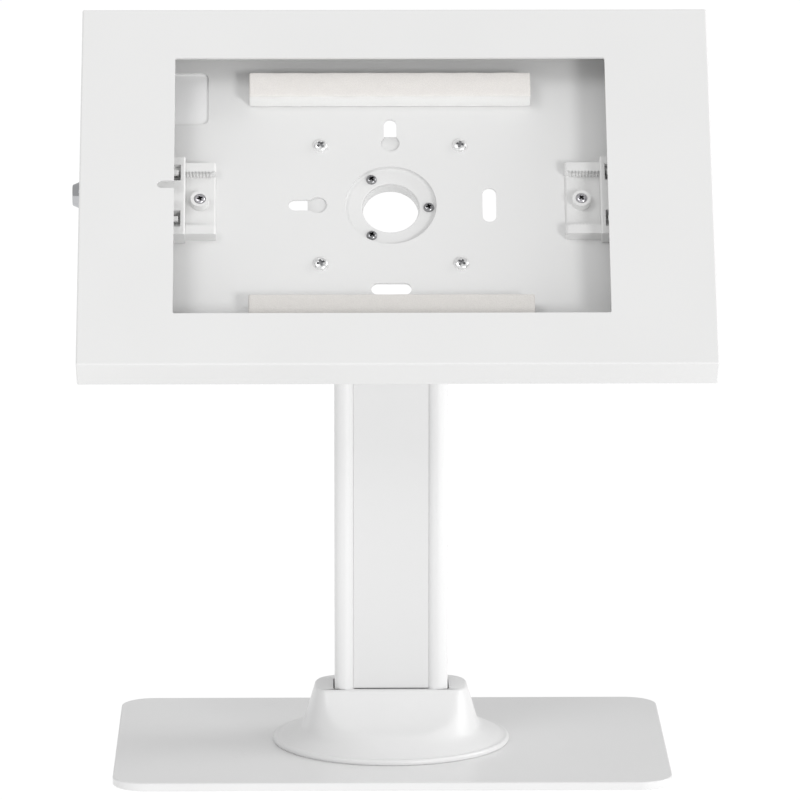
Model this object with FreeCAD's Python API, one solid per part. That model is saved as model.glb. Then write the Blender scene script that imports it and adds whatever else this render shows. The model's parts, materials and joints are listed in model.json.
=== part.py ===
import FreeCAD, Part
import os
from math import asin, atan2, cos, exp, log, pi, radians, sin, sqrt

# Tabletop tablet holder: a lockable sheet-metal enclosure with a window, on a tilting and
# swivelling head, on a column that stands on a flat steel plate.
#
# World frame: millimetres, +Z up, the user looks along +Y at the face, origin on the table
# under the middle of the base plate.
# Head frame: x to the user's right, y up along the face, z out of the face towards the user,
# origin on the swivel axis at the inner face of the enclosure's back sheet.

# Base plate and feet
BASE_W = 297.0
BASE_D = 204.0
BASE_T = 4.5
BASE_CORNER_R = 18.0
BASE_EDGE_R = 0.8
FOOT_R = 10.0
FOOT_T = 1.5
FOOT_INSET = 24.0

# Column extrusion
COLUMN_W = 61.0
COLUMN_D = 32.0
COLUMN_H = 211.0
RAIL_W = 11.0
WEB_T = 2.0
WEB_SETBACK = 3.0
PORT_R = 2.2
LEDGE_W = 1.6

# Cable cover strip that closes the front of the column
STRIP_T = 1.8
STRIP_SETBACK = 2.6
STRIP_SIDE_GAP = 0.15
STRIP_END_GAP = 0.35
STRIP_LEG_T = 1.2
STRIP_LEG_DEPTH = 6.0

# Base cover: half width, half depth and squareness of its outline, from the collar down
COLLAR_HEIGHT = 31.0
COLLAR_HALF_W = 41.0
COLLAR_HALF_D = 25.0
DISC_R = 64.0
DISC_RIM_T = 3.0
DISC_LEDGE = 2.1
BELL_SINK = 0.5
BELL_SIDE_SHARE = 0.4
BELL_SIDE_POWER = 1.0
BELL_FRONT_SHARE = 0.9
BELL_FRONT_POWER = 1.6
SKIRT_SLOPE = 2.6
BELL_BLEND = 1.5
SHELL_WALL = 2.4
COLUMN_CLEARANCE = 0.7
COLLAR_SQUARENESS = 3.4

# Scooped front of the base cover: an arc from the collar's front edge down to the skirt
RAMP_TOP_WALL = 2.3
RAMP_FOOT_REACH = 38.0
RAMP_FOOT_H = 13.3
RAMP_SAG = 2.75
COLLAR_LIP_GAP = 0.45
COLLAR_LIP_T = 3.0

# Fasteners
M3_R = 1.5
M4_R = 2.0
M5_R = 2.5
M8_R = 4.0
HOLE_CLEARANCE = 0.25
RUNNING_CLEARANCE = 0.05
COUNTERSINK_R = 4.9
COUNTERSINK_DEPTH = 2.4
HEX_SOCKET_AF = 3.0
COLUMN_SCREW_LENGTH = 16.0

# Fork on top of the column, and the tilt bolt through it
FORK_PLATE_T = 4.0
FORK_EAR_T = 4.0
FORK_SCREW_HEAD_R = 4.25
FORK_SCREW_HEAD_H = 2.8
FORK_SCREW_GAP = 0.35
AXIS_OVER_FORK = 17.0
THROAT_SIDE_MARGIN = 4.0
THROAT_END_MARGIN = 6.0
THROAT_R = 3.0
EAR_R = 11.0
AXIAL_GAP = 0.15
NYLON_WASHER_T = 0.85
STEEL_WASHER_T = 1.6
WASHER_R = 9.0
BOLT_HEAD_AF = 13.0
BOLT_HEAD_H = 5.3
NUT_H = 6.5
BOLT_END = 2.0

# Tilt bracket that carries the swivel bearing
REST_TILT = 41.0
HUB_RISE = 49.0
HUB_REACH = 35.3
BRACKET_T = 2.5
BRACKET_HALF_H = 27.0
BRACKET_CORNER_R = 4.0
EAR_ROOT_MARGIN = 2.0
EAR_ROOT_DEPTH = 9.0

# Swivel hub
HUB_HOLE_R = 24.6
DISH_BORE_R = 15.3
HUB_BORE_R = 15.0
HUB_BARREL_R = 18.0
HUB_FLANGE_R = 23.0
HUB_FLANGE_T = 1.5
SWIVEL_WASHER_T = 0.5
SWIVEL_GAP = 0.12
RETAINER_T = 1.5
RETAINER_SIDE_GAP = 0.6
HUB_SCREW_CIRCLE_R = 20.4
HUB_SCREW_COUNT = 3
HUB_SCREW_HEAD_R = 2.85
HUB_SCREW_HEAD_H = 1.9
STOP_TAB_R = 26.5
STOP_TAB_HALF_ANGLE = 6.0
STOP_PIN_R = 1.5
SWIVEL_LIMIT = 90.0
STOP_PIN_TOP_GAP = 0.3
STOP_ANGLE_GAP = 0.8
BRACKET_FACE_MARGIN = 2.0

# Enclosure: front cover
FACE_W = 338.0
FACE_H = 224.5
COVER_DEPTH = 20.5
SHEET_T = 1.5
BEND_R = 1.0
COVER_INNER_R = 0.4
BORDER_LEFT = 50.5
BORDER_RIGHT = 56.1
BORDER_H = 31.55
WINDOW_CORNER_R = 1.0
NOTCH_L = 8.9
NOTCH_H = 4.8

# Enclosure: rear tray
REAR_STEP = 2.0
LEFT_INSET = 5.8
TRAY_SIDE_GAP = 0.8
TRAY_FRONT_GAP = 1.5
TRAY_CORNER_R = 5.0

# Adapter plate on the 75 mm screw square
PLATE_SIZE = 89.0
PLATE_T = 1.5
PLATE_CORNER_R = 4.0
SCREW_SQUARE = 75.0
PAN_HEAD_R = 4.0
PAN_HEAD_H = 2.4
NUT_M4_AF = 7.0
NUT_M4_H = 3.2

# Wall-hanging keyholes and slots in the back sheet
KEYHOLE_R = 5.1
KEYHOLE_OFFSET = 39.2
KEYHOLE_NECK_R = 3.4
KEYHOLE_END = 54.7
SLOT_L = 21.5
SLOT_W = 7.3
SLOT_OFFSET = 52.9

# Rear camera window in the back sheet and its blanking plate
CAMERA_SIZE = 33.0
CAMERA_R = 3.5
CAMERA_INSET_X = 1.3
CAMERA_INSET_Y = 12.6
BLANK_MARGIN = 6.0
BLANK_T = 1.2
BLANK_SCREW_HEAD_R = 2.3
BLANK_SCREW_HEAD_H = 1.6

# Foam bars that the tablet's back rests on
FOAM_INSET = 39.7
FOAM_H = 15.5
FOAM_DEPTH = 11.0
FOAM_EDGE_INSET = 18.1
FOAM_EDGE_R = 1.0

# Side clamps: the toothed track that is screwed down, and the jaw that rides on it
TRACK_REACH = 22.2
TRACK_L = 50.0
TRACK_HALF_H = 22.4
TRACK_FLOOR_T = 1.5
TRACK_RIB_H = 6.9
TRACK_RIB_W = 5.1
TRACK_END_SLOPE = 1.0
TOOTH_INSET = 2.2
TOOTH_PITCH = 1.78
TOOTH_DEPTH = 1.0
BOSS_INSET = 8.6
BOSS_R = 4.9
BOSS_H = 6.5
CLAMP_HEAD_R = 2.95
CLAMP_HEAD_H = 1.8
CLAMP_HEAD_SINK = 1.0
NUT_M3_AF = 5.5
NUT_M3_H = 2.4
JAW_INSET = 16.4
JAW_RIGHT_SHIFT = 2.3
JAW_L = 19.0
JAW_HALF_H = 24.4
JAW_LEDGE_H = 10.0
JAW_EDGE_SLOPE = 0.7
JAW_WALL_TOP = 17.5
JAW_WALL_T = 2.5
JAW_CLEARANCE = 0.35
JAW_SLOT_INSET = 2.5
JAW_SLOT_L = 8.0
JAW_SLOT_Y = 14.6
JAW_SLOT_H = 10.0
JAW_FINGER_W = 3.0
JAW_FINGER_T = 1.6
JAW_FINGER_GAP = 1.2

# Cam lock in the left side of the front cover
LOCK_DEPTH = 10.9
LOCK_BARREL_R = 6.0
LOCK_BARREL_L = 14.8
LOCK_HEAD_R = 7.15
LOCK_HEAD_TIP_R = 5.5
LOCK_HEAD_H = 3.8
LOCK_CORE_R = 4.0
LOCK_CORE_SINK = 0.4
KEYWAY_L = 5.0
KEYWAY_W = 1.1
KEYWAY_DEPTH = 3.0
LOCK_NUT_AF = 15.0
LOCK_NUT_T = 2.4
LOCK_NOTCH_GAP = 1.0
CAM_L = 8.8
CAM_HALF_W = 4.0
CAM_T = 1.5
CAM_DRIVE_HALF = 2.2
CAM_SCREW_HEAD_R = 3.2
CAM_SCREW_HEAD_H = 1.8
KEEPER_T = 1.5
KEEPER_W = 4.5
KEEPER_SHELF_L = 6.0
KEEPER_CAM_GAP = 0.6

# Hinge at the right of the front cover
LEAF_T = 1.0
KNUCKLE_R = 2.0
KNUCKLE_GAP = 0.35
HINGE_PIN_R = 1.0
HINGE_LIFT = 0.5
HINGE_L = 150.0
KNUCKLE_COUNT = 5
KNUCKLE_END_GAP = 0.3
LEAF_H = 11.0

# Places worked out from the sizes above
BASE_TOP = FOOT_T + BASE_T
COLUMN_TOP = BASE_TOP + COLUMN_H
TILT_AXIS_Z = COLUMN_TOP + FORK_PLATE_T + AXIS_OVER_FORK
RAIL_X = COLUMN_W / 2 - RAIL_W / 2
PORT_Y = COLUMN_D / 2 - RAIL_W / 2
FORK_OUTER_HALF = RAIL_X - FORK_SCREW_HEAD_R - FORK_SCREW_GAP
SIDE_EAR_IN = FORK_OUTER_HALF + NYLON_WASHER_T + AXIAL_GAP
SIDE_EAR_OUT = SIDE_EAR_IN + BRACKET_T
WINDOW_W = FACE_W - BORDER_LEFT - BORDER_RIGHT
WINDOW_H = FACE_H - 2 * BORDER_H
FACE_SHIFT = (BORDER_RIGHT - BORDER_LEFT) / 2
CAMERA_X = CAMERA_INSET_X - WINDOW_W / 2
CAMERA_Y = WINDOW_H / 2 - CAMERA_INSET_Y
FOAM_L = WINDOW_W - 2 * FOAM_INSET
FOAM_INNER_EDGE = WINDOW_H / 2 - FOAM_EDGE_INSET
TRACK_INNER_X = WINDOW_W / 2 - TRACK_REACH
BOSS_X = TRACK_INNER_X + BOSS_INSET
JAW_INNER_X = TRACK_INNER_X + JAW_INSET
FLANGE_Z = REAR_STEP - SHEET_T
FACE_Z = FLANGE_Z + COVER_DEPTH
COVER_INNER_Z = FACE_Z - SHEET_T
COVER_LEFT = FACE_SHIFT - FACE_W / 2
COVER_RIGHT = FACE_SHIFT + FACE_W / 2
HINGE_ROOM = 2 * (LEAF_T + KNUCKLE_R + KNUCKLE_GAP)
TRAY_LEFT = COVER_LEFT + LEFT_INSET
TRAY_RIGHT = COVER_RIGHT - SHEET_T - HINGE_ROOM
TRAY_HALF_H = FACE_H / 2 - SHEET_T - TRAY_SIDE_GAP
TRAY_FRONT_Z = COVER_INNER_Z - TRAY_FRONT_GAP
BACK_Z = -SHEET_T
PLATE_BACK_Z = BACK_Z - PLATE_T
DISH_FLOOR_Z = PLATE_BACK_Z - PLATE_T
HUB_FLANGE_BACK = DISH_FLOOR_Z - HUB_FLANGE_T
SWIVEL_WASHER_FRONT = HUB_FLANGE_BACK - SWIVEL_GAP
BRACKET_FRONT = SWIVEL_WASHER_FRONT - SWIVEL_WASHER_T
BRACKET_BACK = BRACKET_FRONT - BRACKET_T
RETAINER_FRONT = BRACKET_BACK - SWIVEL_GAP
RETAINER_BACK = RETAINER_FRONT - RETAINER_T
RETAINER_R = SIDE_EAR_IN - RETAINER_SIDE_GAP
HINGE_X = TRAY_RIGHT + HINGE_ROOM / 2
HINGE_Z = FLANGE_Z + HINGE_LIFT + KNUCKLE_R
LOCK_Z = FACE_Z - LOCK_DEPTH
LOCK_INNER_X = COVER_LEFT + LOCK_BARREL_L


def vec(x, y, z):
    """A point or direction."""
    return FreeCAD.Vector(x, y, z)


def box(x0, x1, y0, y1, z0, z1):
    """A box between two corners."""
    return Part.makeBox(x1 - x0, y1 - y0, z1 - z0, vec(x0, y0, z0))


def rod(radius, z0, z1, x=0.0, y=0.0):
    """A cylinder along Z from z0 to z1."""
    return Part.makeCylinder(radius, z1 - z0, vec(x, y, z0))


def cross_rod(radius, x0, x1, y, z):
    """A cylinder along X from x0 to x1."""
    return Part.makeCylinder(radius, x1 - x0, vec(x0, y, z), vec(1, 0, 0))


def tube(outer, inner, z0, z1, x=0.0, y=0.0):
    """A ring along Z."""
    return rod(outer, z0, z1, x, y).cut(rod(inner, z0 - 1, z1 + 1, x, y))


def rounded_wire(x0, x1, y0, y1, radius, z):
    """A closed rectangle with round corners, flat at height z."""
    arc_mid = radius * (1 - cos(pi / 4))
    corners = [
        (x1 - radius, y0, x1 - arc_mid, y0 + arc_mid, x1, y0 + radius),
        (x1, y1 - radius, x1 - arc_mid, y1 - arc_mid, x1 - radius, y1),
        (x0 + radius, y1, x0 + arc_mid, y1 - arc_mid, x0, y1 - radius),
        (x0, y0 + radius, x0 + arc_mid, y0 + arc_mid, x0 + radius, y0),
    ]
    edges = []
    for index, corner in enumerate(corners):
        start, middle, end = (vec(*corner[i:i + 2], z) for i in (0, 2, 4))
        following = vec(*corners[(index + 1) % 4][0:2], z)
        edges.append(Part.Arc(start, middle, end).toShape())
        if end.distanceToPoint(following) > 1e-6:
            edges.append(Part.LineSegment(end, following).toShape())
    return Part.Wire(edges)


def rounded_block(x0, x1, y0, y1, z0, z1, radius):
    """A block with round vertical corners."""
    return Part.Face(rounded_wire(x0, x1, y0, y1, radius, z0)).extrude(vec(0, 0, z1 - z0))


def hexagon(across_flats, z0, z1, x=0.0, y=0.0):
    """A hexagonal prism along Z with its corners eased at both ends."""
    radius = across_flats / sqrt(3)
    points = [vec(x + radius * cos(i * pi / 3), y + radius * sin(i * pi / 3), z0) for i in range(7)]
    prism = Part.Face(Part.makePolygon(points)).extrude(vec(0, 0, z1 - z0))
    ease = radius - across_flats / 2
    height = z1 - z0
    turned = rod(radius, z0, z1, x, y)
    rims = [edge for edge in turned.Edges if abs(edge.Length - 2 * pi * radius) < 1e-3]
    return prism.common(turned.makeChamfer(min(ease, height / 3), rims))


def hex_nut(across_flats, bore_r, z0, z1, x=0.0, y=0.0):
    """A hexagonal nut along Z."""
    return hexagon(across_flats, z0, z1, x, y).cut(rod(bore_r, z0 - 1, z1 + 1, x, y))


def pan_screw(head_r, head_h, shank_r, length):
    """A cross-recessed pan head screw: the head stands on z = 0, the shank points down."""
    head = rod(head_r, 0, head_h)
    top_rim = [edge for edge in head.Edges if edge.BoundBox.ZMin > head_h - 1e-3 and edge.Closed]
    head = head.makeFillet(head_h * 0.42, top_rim)
    arm = head_r * 0.55
    slit = head_r * 0.13
    depth = head_h * 0.6
    recess = box(-arm, arm, -slit, slit, head_h - depth, head_h + 1)
    recess = recess.fuse(box(-slit, slit, -arm, arm, head_h - depth, head_h + 1))
    return head.cut(recess).fuse(rod(shank_r, -length, 0))


def moved(shape, x=0.0, y=0.0, z=0.0):
    """A copy of a shape, moved."""
    copy = shape.copy()
    copy.translate(vec(x, y, z))
    return copy


def mirrored(shape):
    """The same shape on the other side of the middle plane x = 0."""
    return shape.mirror(vec(0, 0, 0), vec(1, 0, 0))


def on_head(shape):
    """Carry a shape from the head frame to the world, at the rest tilt."""
    placed = shape.copy()
    placed.translate(vec(0, HUB_RISE, HUB_REACH))
    placed.rotate(vec(0, 0, 0), vec(1, 0, 0), 90 - REST_TILT)
    placed.translate(vec(0, 0, TILT_AXIS_Z))
    return placed


def corner_points(half_x, half_y):
    """The four corners of a rectangle about the origin."""
    return [(sx * half_x, sy * half_y) for sx in (-1, 1) for sy in (-1, 1)]


# Stand


def base_plate():
    """Flat steel plate with round corners and four countersunk holes for the column."""
    plate = rounded_block(-BASE_W / 2, BASE_W / 2, -BASE_D / 2, BASE_D / 2, FOOT_T, BASE_TOP, BASE_CORNER_R)
    rim = [edge for edge in plate.Edges if abs(edge.BoundBox.ZMax - edge.BoundBox.ZMin) < 1e-3]
    plate = plate.makeFillet(BASE_EDGE_R, rim)
    for x, y in corner_points(RAIL_X, PORT_Y):
        plate = plate.cut(rod(M5_R + HOLE_CLEARANCE, 0, BASE_TOP + 1, x, y))
        sink = Part.makeCone(COUNTERSINK_R + 0.1, M5_R + 0.1, COUNTERSINK_DEPTH, vec(x, y, FOOT_T))
        plate = plate.cut(sink)
    return plate


def feet():
    """Four rubber pads under the plate."""
    pads = []
    for x, y in corner_points(BASE_W / 2 - FOOT_INSET, BASE_D / 2 - FOOT_INSET):
        pad = rod(FOOT_R, 0, FOOT_T, x, y)
        lower = [edge for edge in pad.Edges if edge.BoundBox.ZMax < 1e-3]
        pads.append(pad.makeChamfer(FOOT_T / 3, lower))
    return Part.makeCompound(pads)


def column():
    """Aluminium extrusion: two round-edged rails, a rear web, and ledges behind the cover strip."""
    inner = COLUMN_W / 2 - RAIL_W
    web_back = COLUMN_D / 2 - WEB_SETBACK
    ledge_front = -COLUMN_D / 2 + STRIP_SETBACK + STRIP_T
    body = None
    for side in (-1, 1):
        half = RAIL_W / 2
        rail = rounded_block(side * RAIL_X - half, side * RAIL_X + half, -COLUMN_D / 2, COLUMN_D / 2,
                             BASE_TOP, COLUMN_TOP, half - 0.01)
        for y in (-PORT_Y, PORT_Y):
            rail = rail.cut(rod(PORT_R, BASE_TOP - 1, COLUMN_TOP + 1, side * RAIL_X, y))
        lip_in = side * (inner - LEDGE_W)
        lip_out = side * (inner + LEDGE_W)
        lip = box(min(lip_in, lip_out), max(lip_in, lip_out), ledge_front + STRIP_LEG_DEPTH,
                  ledge_front + STRIP_LEG_DEPTH + LEDGE_W, BASE_TOP, COLUMN_TOP)
        rail = rail.fuse(lip)
        body = rail if body is None else body.fuse(rail)
    web = box(-inner - 1, inner + 1, web_back - WEB_T, web_back, BASE_TOP, COLUMN_TOP)
    return body.fuse(web).removeSplitter()


def column_screws():
    """Four countersunk screws up through the plate into the column's ports."""
    screws = []
    for x, y in corner_points(RAIL_X, PORT_Y):
        head = Part.makeCone(COUNTERSINK_R, M5_R, COUNTERSINK_DEPTH, vec(x, y, FOOT_T))
        shank = rod(PORT_R, FOOT_T + COUNTERSINK_DEPTH, FOOT_T + COLUMN_SCREW_LENGTH, x, y)
        socket = hexagon(HEX_SOCKET_AF, FOOT_T - 1, FOOT_T + COUNTERSINK_DEPTH * 0.8, x, y)
        screws.append(head.fuse(shank).cut(socket))
    return Part.makeCompound(screws)


def rail_relief(depth):
    """How far a rail's round side has drawn back at a depth behind the rail's front."""
    radius = RAIL_W / 2
    return radius - sqrt(radius ** 2 - (radius - depth) ** 2)


def cable_cover():
    """Plastic strip whose edges follow the rails, with two legs that clip between them."""
    half = COLUMN_W / 2 - RAIL_W - STRIP_SIDE_GAP
    front = -COLUMN_D / 2 + STRIP_SETBACK
    back = front + STRIP_T
    bottom = BASE_TOP + COLLAR_HEIGHT + STRIP_END_GAP
    front_half = half + rail_relief(STRIP_SETBACK)
    back_half = half + rail_relief(STRIP_SETBACK + STRIP_T)
    outline = [(-front_half, front), (front_half, front), (back_half, back), (-back_half, back)]
    outline.append(outline[0])
    section = Part.Face(Part.makePolygon([vec(x, y, bottom) for x, y in outline]))
    strip = section.extrude(vec(0, 0, COLUMN_TOP - bottom))
    for side in (-1, 1):
        edge = side * half
        root = side * (half - STRIP_LEG_T)
        strip = strip.fuse(box(min(edge, root), max(edge, root), back, back + STRIP_LEG_DEPTH,
                               bottom, COLUMN_TOP))
    return strip.removeSplitter()


def oval_wire(half_x, half_y, squareness, z):
    """A closed superellipse: |x/a|^n + |y/b|^n = 1."""
    points = []
    count = 32
    for i in range(count):
        angle = 2 * pi * i / count
        c = cos(angle)
        s = sin(angle)
        radius = (abs(c) ** squareness + abs(s) ** squareness) ** (-1 / squareness)
        points.append(vec(half_x * radius * c, half_y * radius * s, z))
    curve = Part.BSplineCurve()
    curve.interpolate(points, True)
    return Part.Wire(curve.toShape())


def bell_half(collar, share, power, down, rise):
    """Half width of the bell at a share of the way down: its steep flank blended into the flat skirt."""
    foot = DISC_R - DISC_LEDGE
    flank = collar + (foot - collar) * share * down ** power
    skirt = foot - SKIRT_SLOPE * rise * (1 - down)
    most = max(flank, skirt)
    return most + BELL_BLEND * log(exp((flank - most) / BELL_BLEND) + exp((skirt - most) / BELL_BLEND))


def bell_sections(inset, drop):
    """Outlines of the bell from just inside the disc up to the collar, drawn in and lowered."""
    low = BASE_TOP + DISC_RIM_T - BELL_SINK
    rise = BASE_TOP + COLLAR_HEIGHT - low
    sections = []
    for share in (0.0, 0.05, 0.1, 0.155, 0.26, 0.4, 0.54, 0.68, 0.83, 1.0):
        half_x = bell_half(COLLAR_HALF_W, BELL_SIDE_SHARE, BELL_SIDE_POWER, 1 - share, rise)
        half_y = bell_half(COLLAR_HALF_D, BELL_FRONT_SHARE, BELL_FRONT_POWER, 1 - share, rise)
        squareness = 2.0 + (COLLAR_SQUARENESS - 2.0) * share ** 0.7
        sections.append((half_x - inset, half_y - inset, squareness, low + rise * share - drop))
    return sections


def ramp_cutter(inset):
    """All that lies in front of the scooped face, or of that face moved in by a wall.

    The face is an arc between its top and its foot, with its hollow side to the front, and goes on
    straight past the foot.
    """
    top_y = -COLUMN_D / 2 - RAMP_TOP_WALL
    top_z = BASE_TOP + COLLAR_HEIGHT
    foot_y = -RAMP_FOOT_REACH
    foot_z = BASE_TOP + RAMP_FOOT_H
    run = top_y - foot_y
    rise = top_z - foot_z
    half_chord = sqrt(run * run + rise * rise) / 2
    radius = (half_chord ** 2 + RAMP_SAG ** 2) / (2 * RAMP_SAG)
    slope = atan2(rise, run)
    half_arc = asin(half_chord / radius)
    lift = radius - RAMP_SAG
    centre_y = (top_y + foot_y) / 2 - lift * sin(slope)
    centre_z = (top_z + foot_z) / 2 + lift * cos(slope)
    reach = radius + inset
    middle = slope - pi / 2
    points = [vec(0, centre_y + reach * cos(middle + turn), centre_z + reach * sin(middle + turn))
              for turn in (half_arc, 0, -half_arc)]
    tail = slope - half_arc
    end = points[2] + vec(0, -cos(tail), -sin(tail)) * DISC_R
    high = top_z + COLLAR_HEIGHT
    corners = [points[2], end, vec(0, end.y, high), vec(0, points[0].y, high), points[0]]
    edges = [Part.Arc(*points).toShape()]
    edges += [Part.LineSegment(*pair).toShape() for pair in zip(corners, corners[1:])]
    cutter = Part.Face(Part.Wire(edges)).extrude(vec(2 * DISC_R, 0, 0))
    return moved(cutter, -DISC_R)


def base_cover():
    """Moulded bell with a scooped front that hides the foot of the column, on a thin round skirt."""
    skirt = rod(DISC_R, BASE_TOP, BASE_TOP + DISC_RIM_T)
    rim = [edge for edge in skirt.Edges if edge.Closed and edge.BoundBox.ZMin > BASE_TOP + 0.1]
    skirt = skirt.makeFillet(DISC_RIM_T * 0.45, rim)
    outer = Part.makeLoft([oval_wire(*section) for section in bell_sections(0.0, 0.0)], True)
    outer = outer.cut(ramp_cutter(0.0))
    hollow = Part.makeLoft([oval_wire(*section) for section in bell_sections(SHELL_WALL, DISC_RIM_T)], True)
    hollow = hollow.cut(ramp_cutter(SHELL_WALL))
    body = skirt.fuse(outer).cut(hollow)
    margin = COLUMN_CLEARANCE
    collar_z = BASE_TOP + COLLAR_HEIGHT
    passage = rounded_block(-COLUMN_W / 2 - margin, COLUMN_W / 2 + margin, -COLUMN_D / 2 - margin,
                            COLUMN_D / 2 + margin, BASE_TOP - 1, collar_z + 1, RAIL_W / 2 + margin)
    body = body.cut(passage)
    lip_half = COLUMN_W / 2 - RAIL_W - margin
    lip_back = STRIP_SETBACK - COLUMN_D / 2 - COLLAR_LIP_GAP
    lip_front = -COLUMN_D / 2 - RAMP_TOP_WALL / 2
    lip = box(-lip_half, lip_half, lip_front, lip_back, collar_z - COLLAR_LIP_T, collar_z)
    return body.fuse(lip).removeSplitter()


def fork():
    """Fork on the column's top: a plate with two ears that hold the tilt bolt."""
    plate = rounded_block(-COLUMN_W / 2, COLUMN_W / 2, -COLUMN_D / 2, COLUMN_D / 2,
                          COLUMN_TOP, COLUMN_TOP + FORK_PLATE_T, RAIL_W / 2)
    body = plate
    for side in (-1, 1):
        x0 = min(side * FORK_OUTER_HALF, side * (FORK_OUTER_HALF - FORK_EAR_T))
        x1 = x0 + FORK_EAR_T
        ear = box(x0, x1, -EAR_R, EAR_R, COLUMN_TOP + FORK_PLATE_T, TILT_AXIS_Z)
        ear = ear.fuse(cross_rod(EAR_R, x0, x1, 0, TILT_AXIS_Z))
        body = body.fuse(ear)
    bore = cross_rod(M8_R + RUNNING_CLEARANCE, -COLUMN_W, COLUMN_W, 0, TILT_AXIS_Z)
    body = body.cut(bore)
    for x, y in corner_points(RAIL_X, PORT_Y):
        body = body.cut(rod(M5_R + HOLE_CLEARANCE, COLUMN_TOP - 1, COLUMN_TOP + FORK_PLATE_T + 1, x, y))
    half_x = FORK_OUTER_HALF - FORK_EAR_T - THROAT_SIDE_MARGIN
    half_y = COLUMN_D / 2 - THROAT_END_MARGIN
    throat = rounded_block(-half_x, half_x, -half_y, half_y,
                           COLUMN_TOP - 1, COLUMN_TOP + FORK_PLATE_T + 1, THROAT_R)
    return body.cut(throat).removeSplitter()


def fork_screws():
    """Four pan head screws down through the fork into the column's ports."""
    screw = pan_screw(FORK_SCREW_HEAD_R, FORK_SCREW_HEAD_H, PORT_R, COLUMN_SCREW_LENGTH)
    height = COLUMN_TOP + FORK_PLATE_T
    return Part.makeCompound([moved(screw, x, y, height) for x, y in corner_points(RAIL_X, PORT_Y)])


def along_x(shape, x, z):
    """Turn a shape built along Z so that it lies along X, and set it on the tilt axis."""
    turned = shape.copy()
    turned.rotate(vec(0, 0, 0), vec(0, 1, 0), 90)
    turned.translate(vec(x, 0, z))
    return turned


def tilt_bolt():
    """Hexagon bolt through the fork and the tilt bracket."""
    head_face = -(SIDE_EAR_OUT + AXIAL_GAP + STEEL_WASHER_T)
    tip = -head_face + NUT_H + BOLT_END
    shank = rod(M8_R, 0, tip - head_face)
    head = hexagon(BOLT_HEAD_AF, -BOLT_HEAD_H, 0)
    return along_x(head.fuse(shank), head_face, TILT_AXIS_Z)


def tilt_nut():
    """Locking nut on the tilt bolt."""
    nut_face = SIDE_EAR_OUT + AXIAL_GAP + STEEL_WASHER_T
    collar = tube(BOLT_HEAD_AF / 2 - 0.4, M8_R, NUT_H * 0.75, NUT_H)
    nut = hex_nut(BOLT_HEAD_AF, M8_R, 0, NUT_H * 0.75)
    return along_x(nut.fuse(collar), nut_face, TILT_AXIS_Z)


def washer_pair(inner_face, thickness):
    """Two washers on the tilt axis, one on each side."""
    ring = tube(WASHER_R, M8_R + RUNNING_CLEARANCE, 0, thickness)
    right = along_x(ring, inner_face, TILT_AXIS_Z)
    return Part.makeCompound([right, mirrored(right)])


# Tilt bracket and swivel bearing, in the head frame


def tangent_point(radius, x, y, side):
    """Where a line from (x, y) touches a circle about the origin, on the given side."""
    distance = sqrt(x * x + y * y)
    angle = atan2(y, x) + side * (pi / 2 - asin(radius / distance))
    return radius * cos(angle), radius * sin(angle)


def tilt_bracket():
    """Welded bracket: a face with the swivel bore, and two ears back to the tilt axis."""
    half = STOP_TAB_R + BRACKET_FACE_MARGIN
    face = rounded_block(-half, half, -BRACKET_HALF_H, BRACKET_HALF_H,
                         BRACKET_BACK, BRACKET_FRONT, BRACKET_CORNER_R)
    root_low = HUB_RISE - BRACKET_HALF_H + EAR_ROOT_MARGIN
    root_high = HUB_RISE + BRACKET_HALF_H - EAR_ROOT_MARGIN
    front = HUB_REACH + BRACKET_FRONT
    rear = front - EAR_ROOT_DEPTH
    low = tangent_point(EAR_R, root_low, front, 1)
    high = tangent_point(EAR_R, root_high, rear, -1)
    outline = [(root_low, front), (root_high, front), (root_high, rear), high, low]
    body = face
    for side in (-1, 1):
        x0 = min(side * SIDE_EAR_IN, side * SIDE_EAR_OUT)
        points = [vec(x0, y - HUB_RISE, z - HUB_REACH) for y, z in outline]
        points.append(points[0])
        ear = Part.Face(Part.makePolygon(points)).extrude(vec(BRACKET_T, 0, 0))
        ear = ear.fuse(cross_rod(EAR_R, x0, x0 + BRACKET_T, -HUB_RISE, -HUB_REACH))
        body = body.fuse(ear)
    bore = cross_rod(M8_R + RUNNING_CLEARANCE, -COLUMN_W, COLUMN_W, -HUB_RISE, -HUB_REACH)
    body = body.cut(bore)
    body = body.cut(rod(HUB_BARREL_R + RUNNING_CLEARANCE, BRACKET_BACK - 1, BRACKET_FRONT + 1))
    for pin in stop_pin_rods():
        body = body.cut(pin)
    return body.removeSplitter()


def stop_angle():
    """How far round from straight up the two stop pins stand."""
    pin_half = asin(STOP_PIN_R / (STOP_TAB_R - STOP_PIN_R)) * 180 / pi
    return SWIVEL_LIMIT + STOP_TAB_HALF_ANGLE + pin_half + STOP_ANGLE_GAP


def stop_pin_rods():
    """The two stop pins, from the bracket's back to just short of the adapter's dish."""
    circle = STOP_TAB_R - STOP_PIN_R
    rods = []
    for side in (-1, 1):
        angle = radians(90 + side * stop_angle())
        rods.append(rod(STOP_PIN_R, BRACKET_BACK, DISH_FLOOR_Z - STOP_PIN_TOP_GAP,
                        circle * cos(angle), circle * sin(angle)))
    return rods


def stop_pins():
    """Two pins pressed into the bracket that stop the swivel."""
    return Part.makeCompound(stop_pin_rods())


def swivel_washer():
    """Thin nylon washer between the hub's flange and the bracket."""
    return tube(HUB_FLANGE_R, HUB_BARREL_R + RUNNING_CLEARANCE, BRACKET_FRONT, SWIVEL_WASHER_FRONT)


def hub_screw_places():
    """Places of the hub screws, the first to the right."""
    step = 2 * pi / HUB_SCREW_COUNT
    return [(HUB_SCREW_CIRCLE_R * cos(i * step), HUB_SCREW_CIRCLE_R * sin(i * step))
            for i in range(HUB_SCREW_COUNT)]


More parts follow.
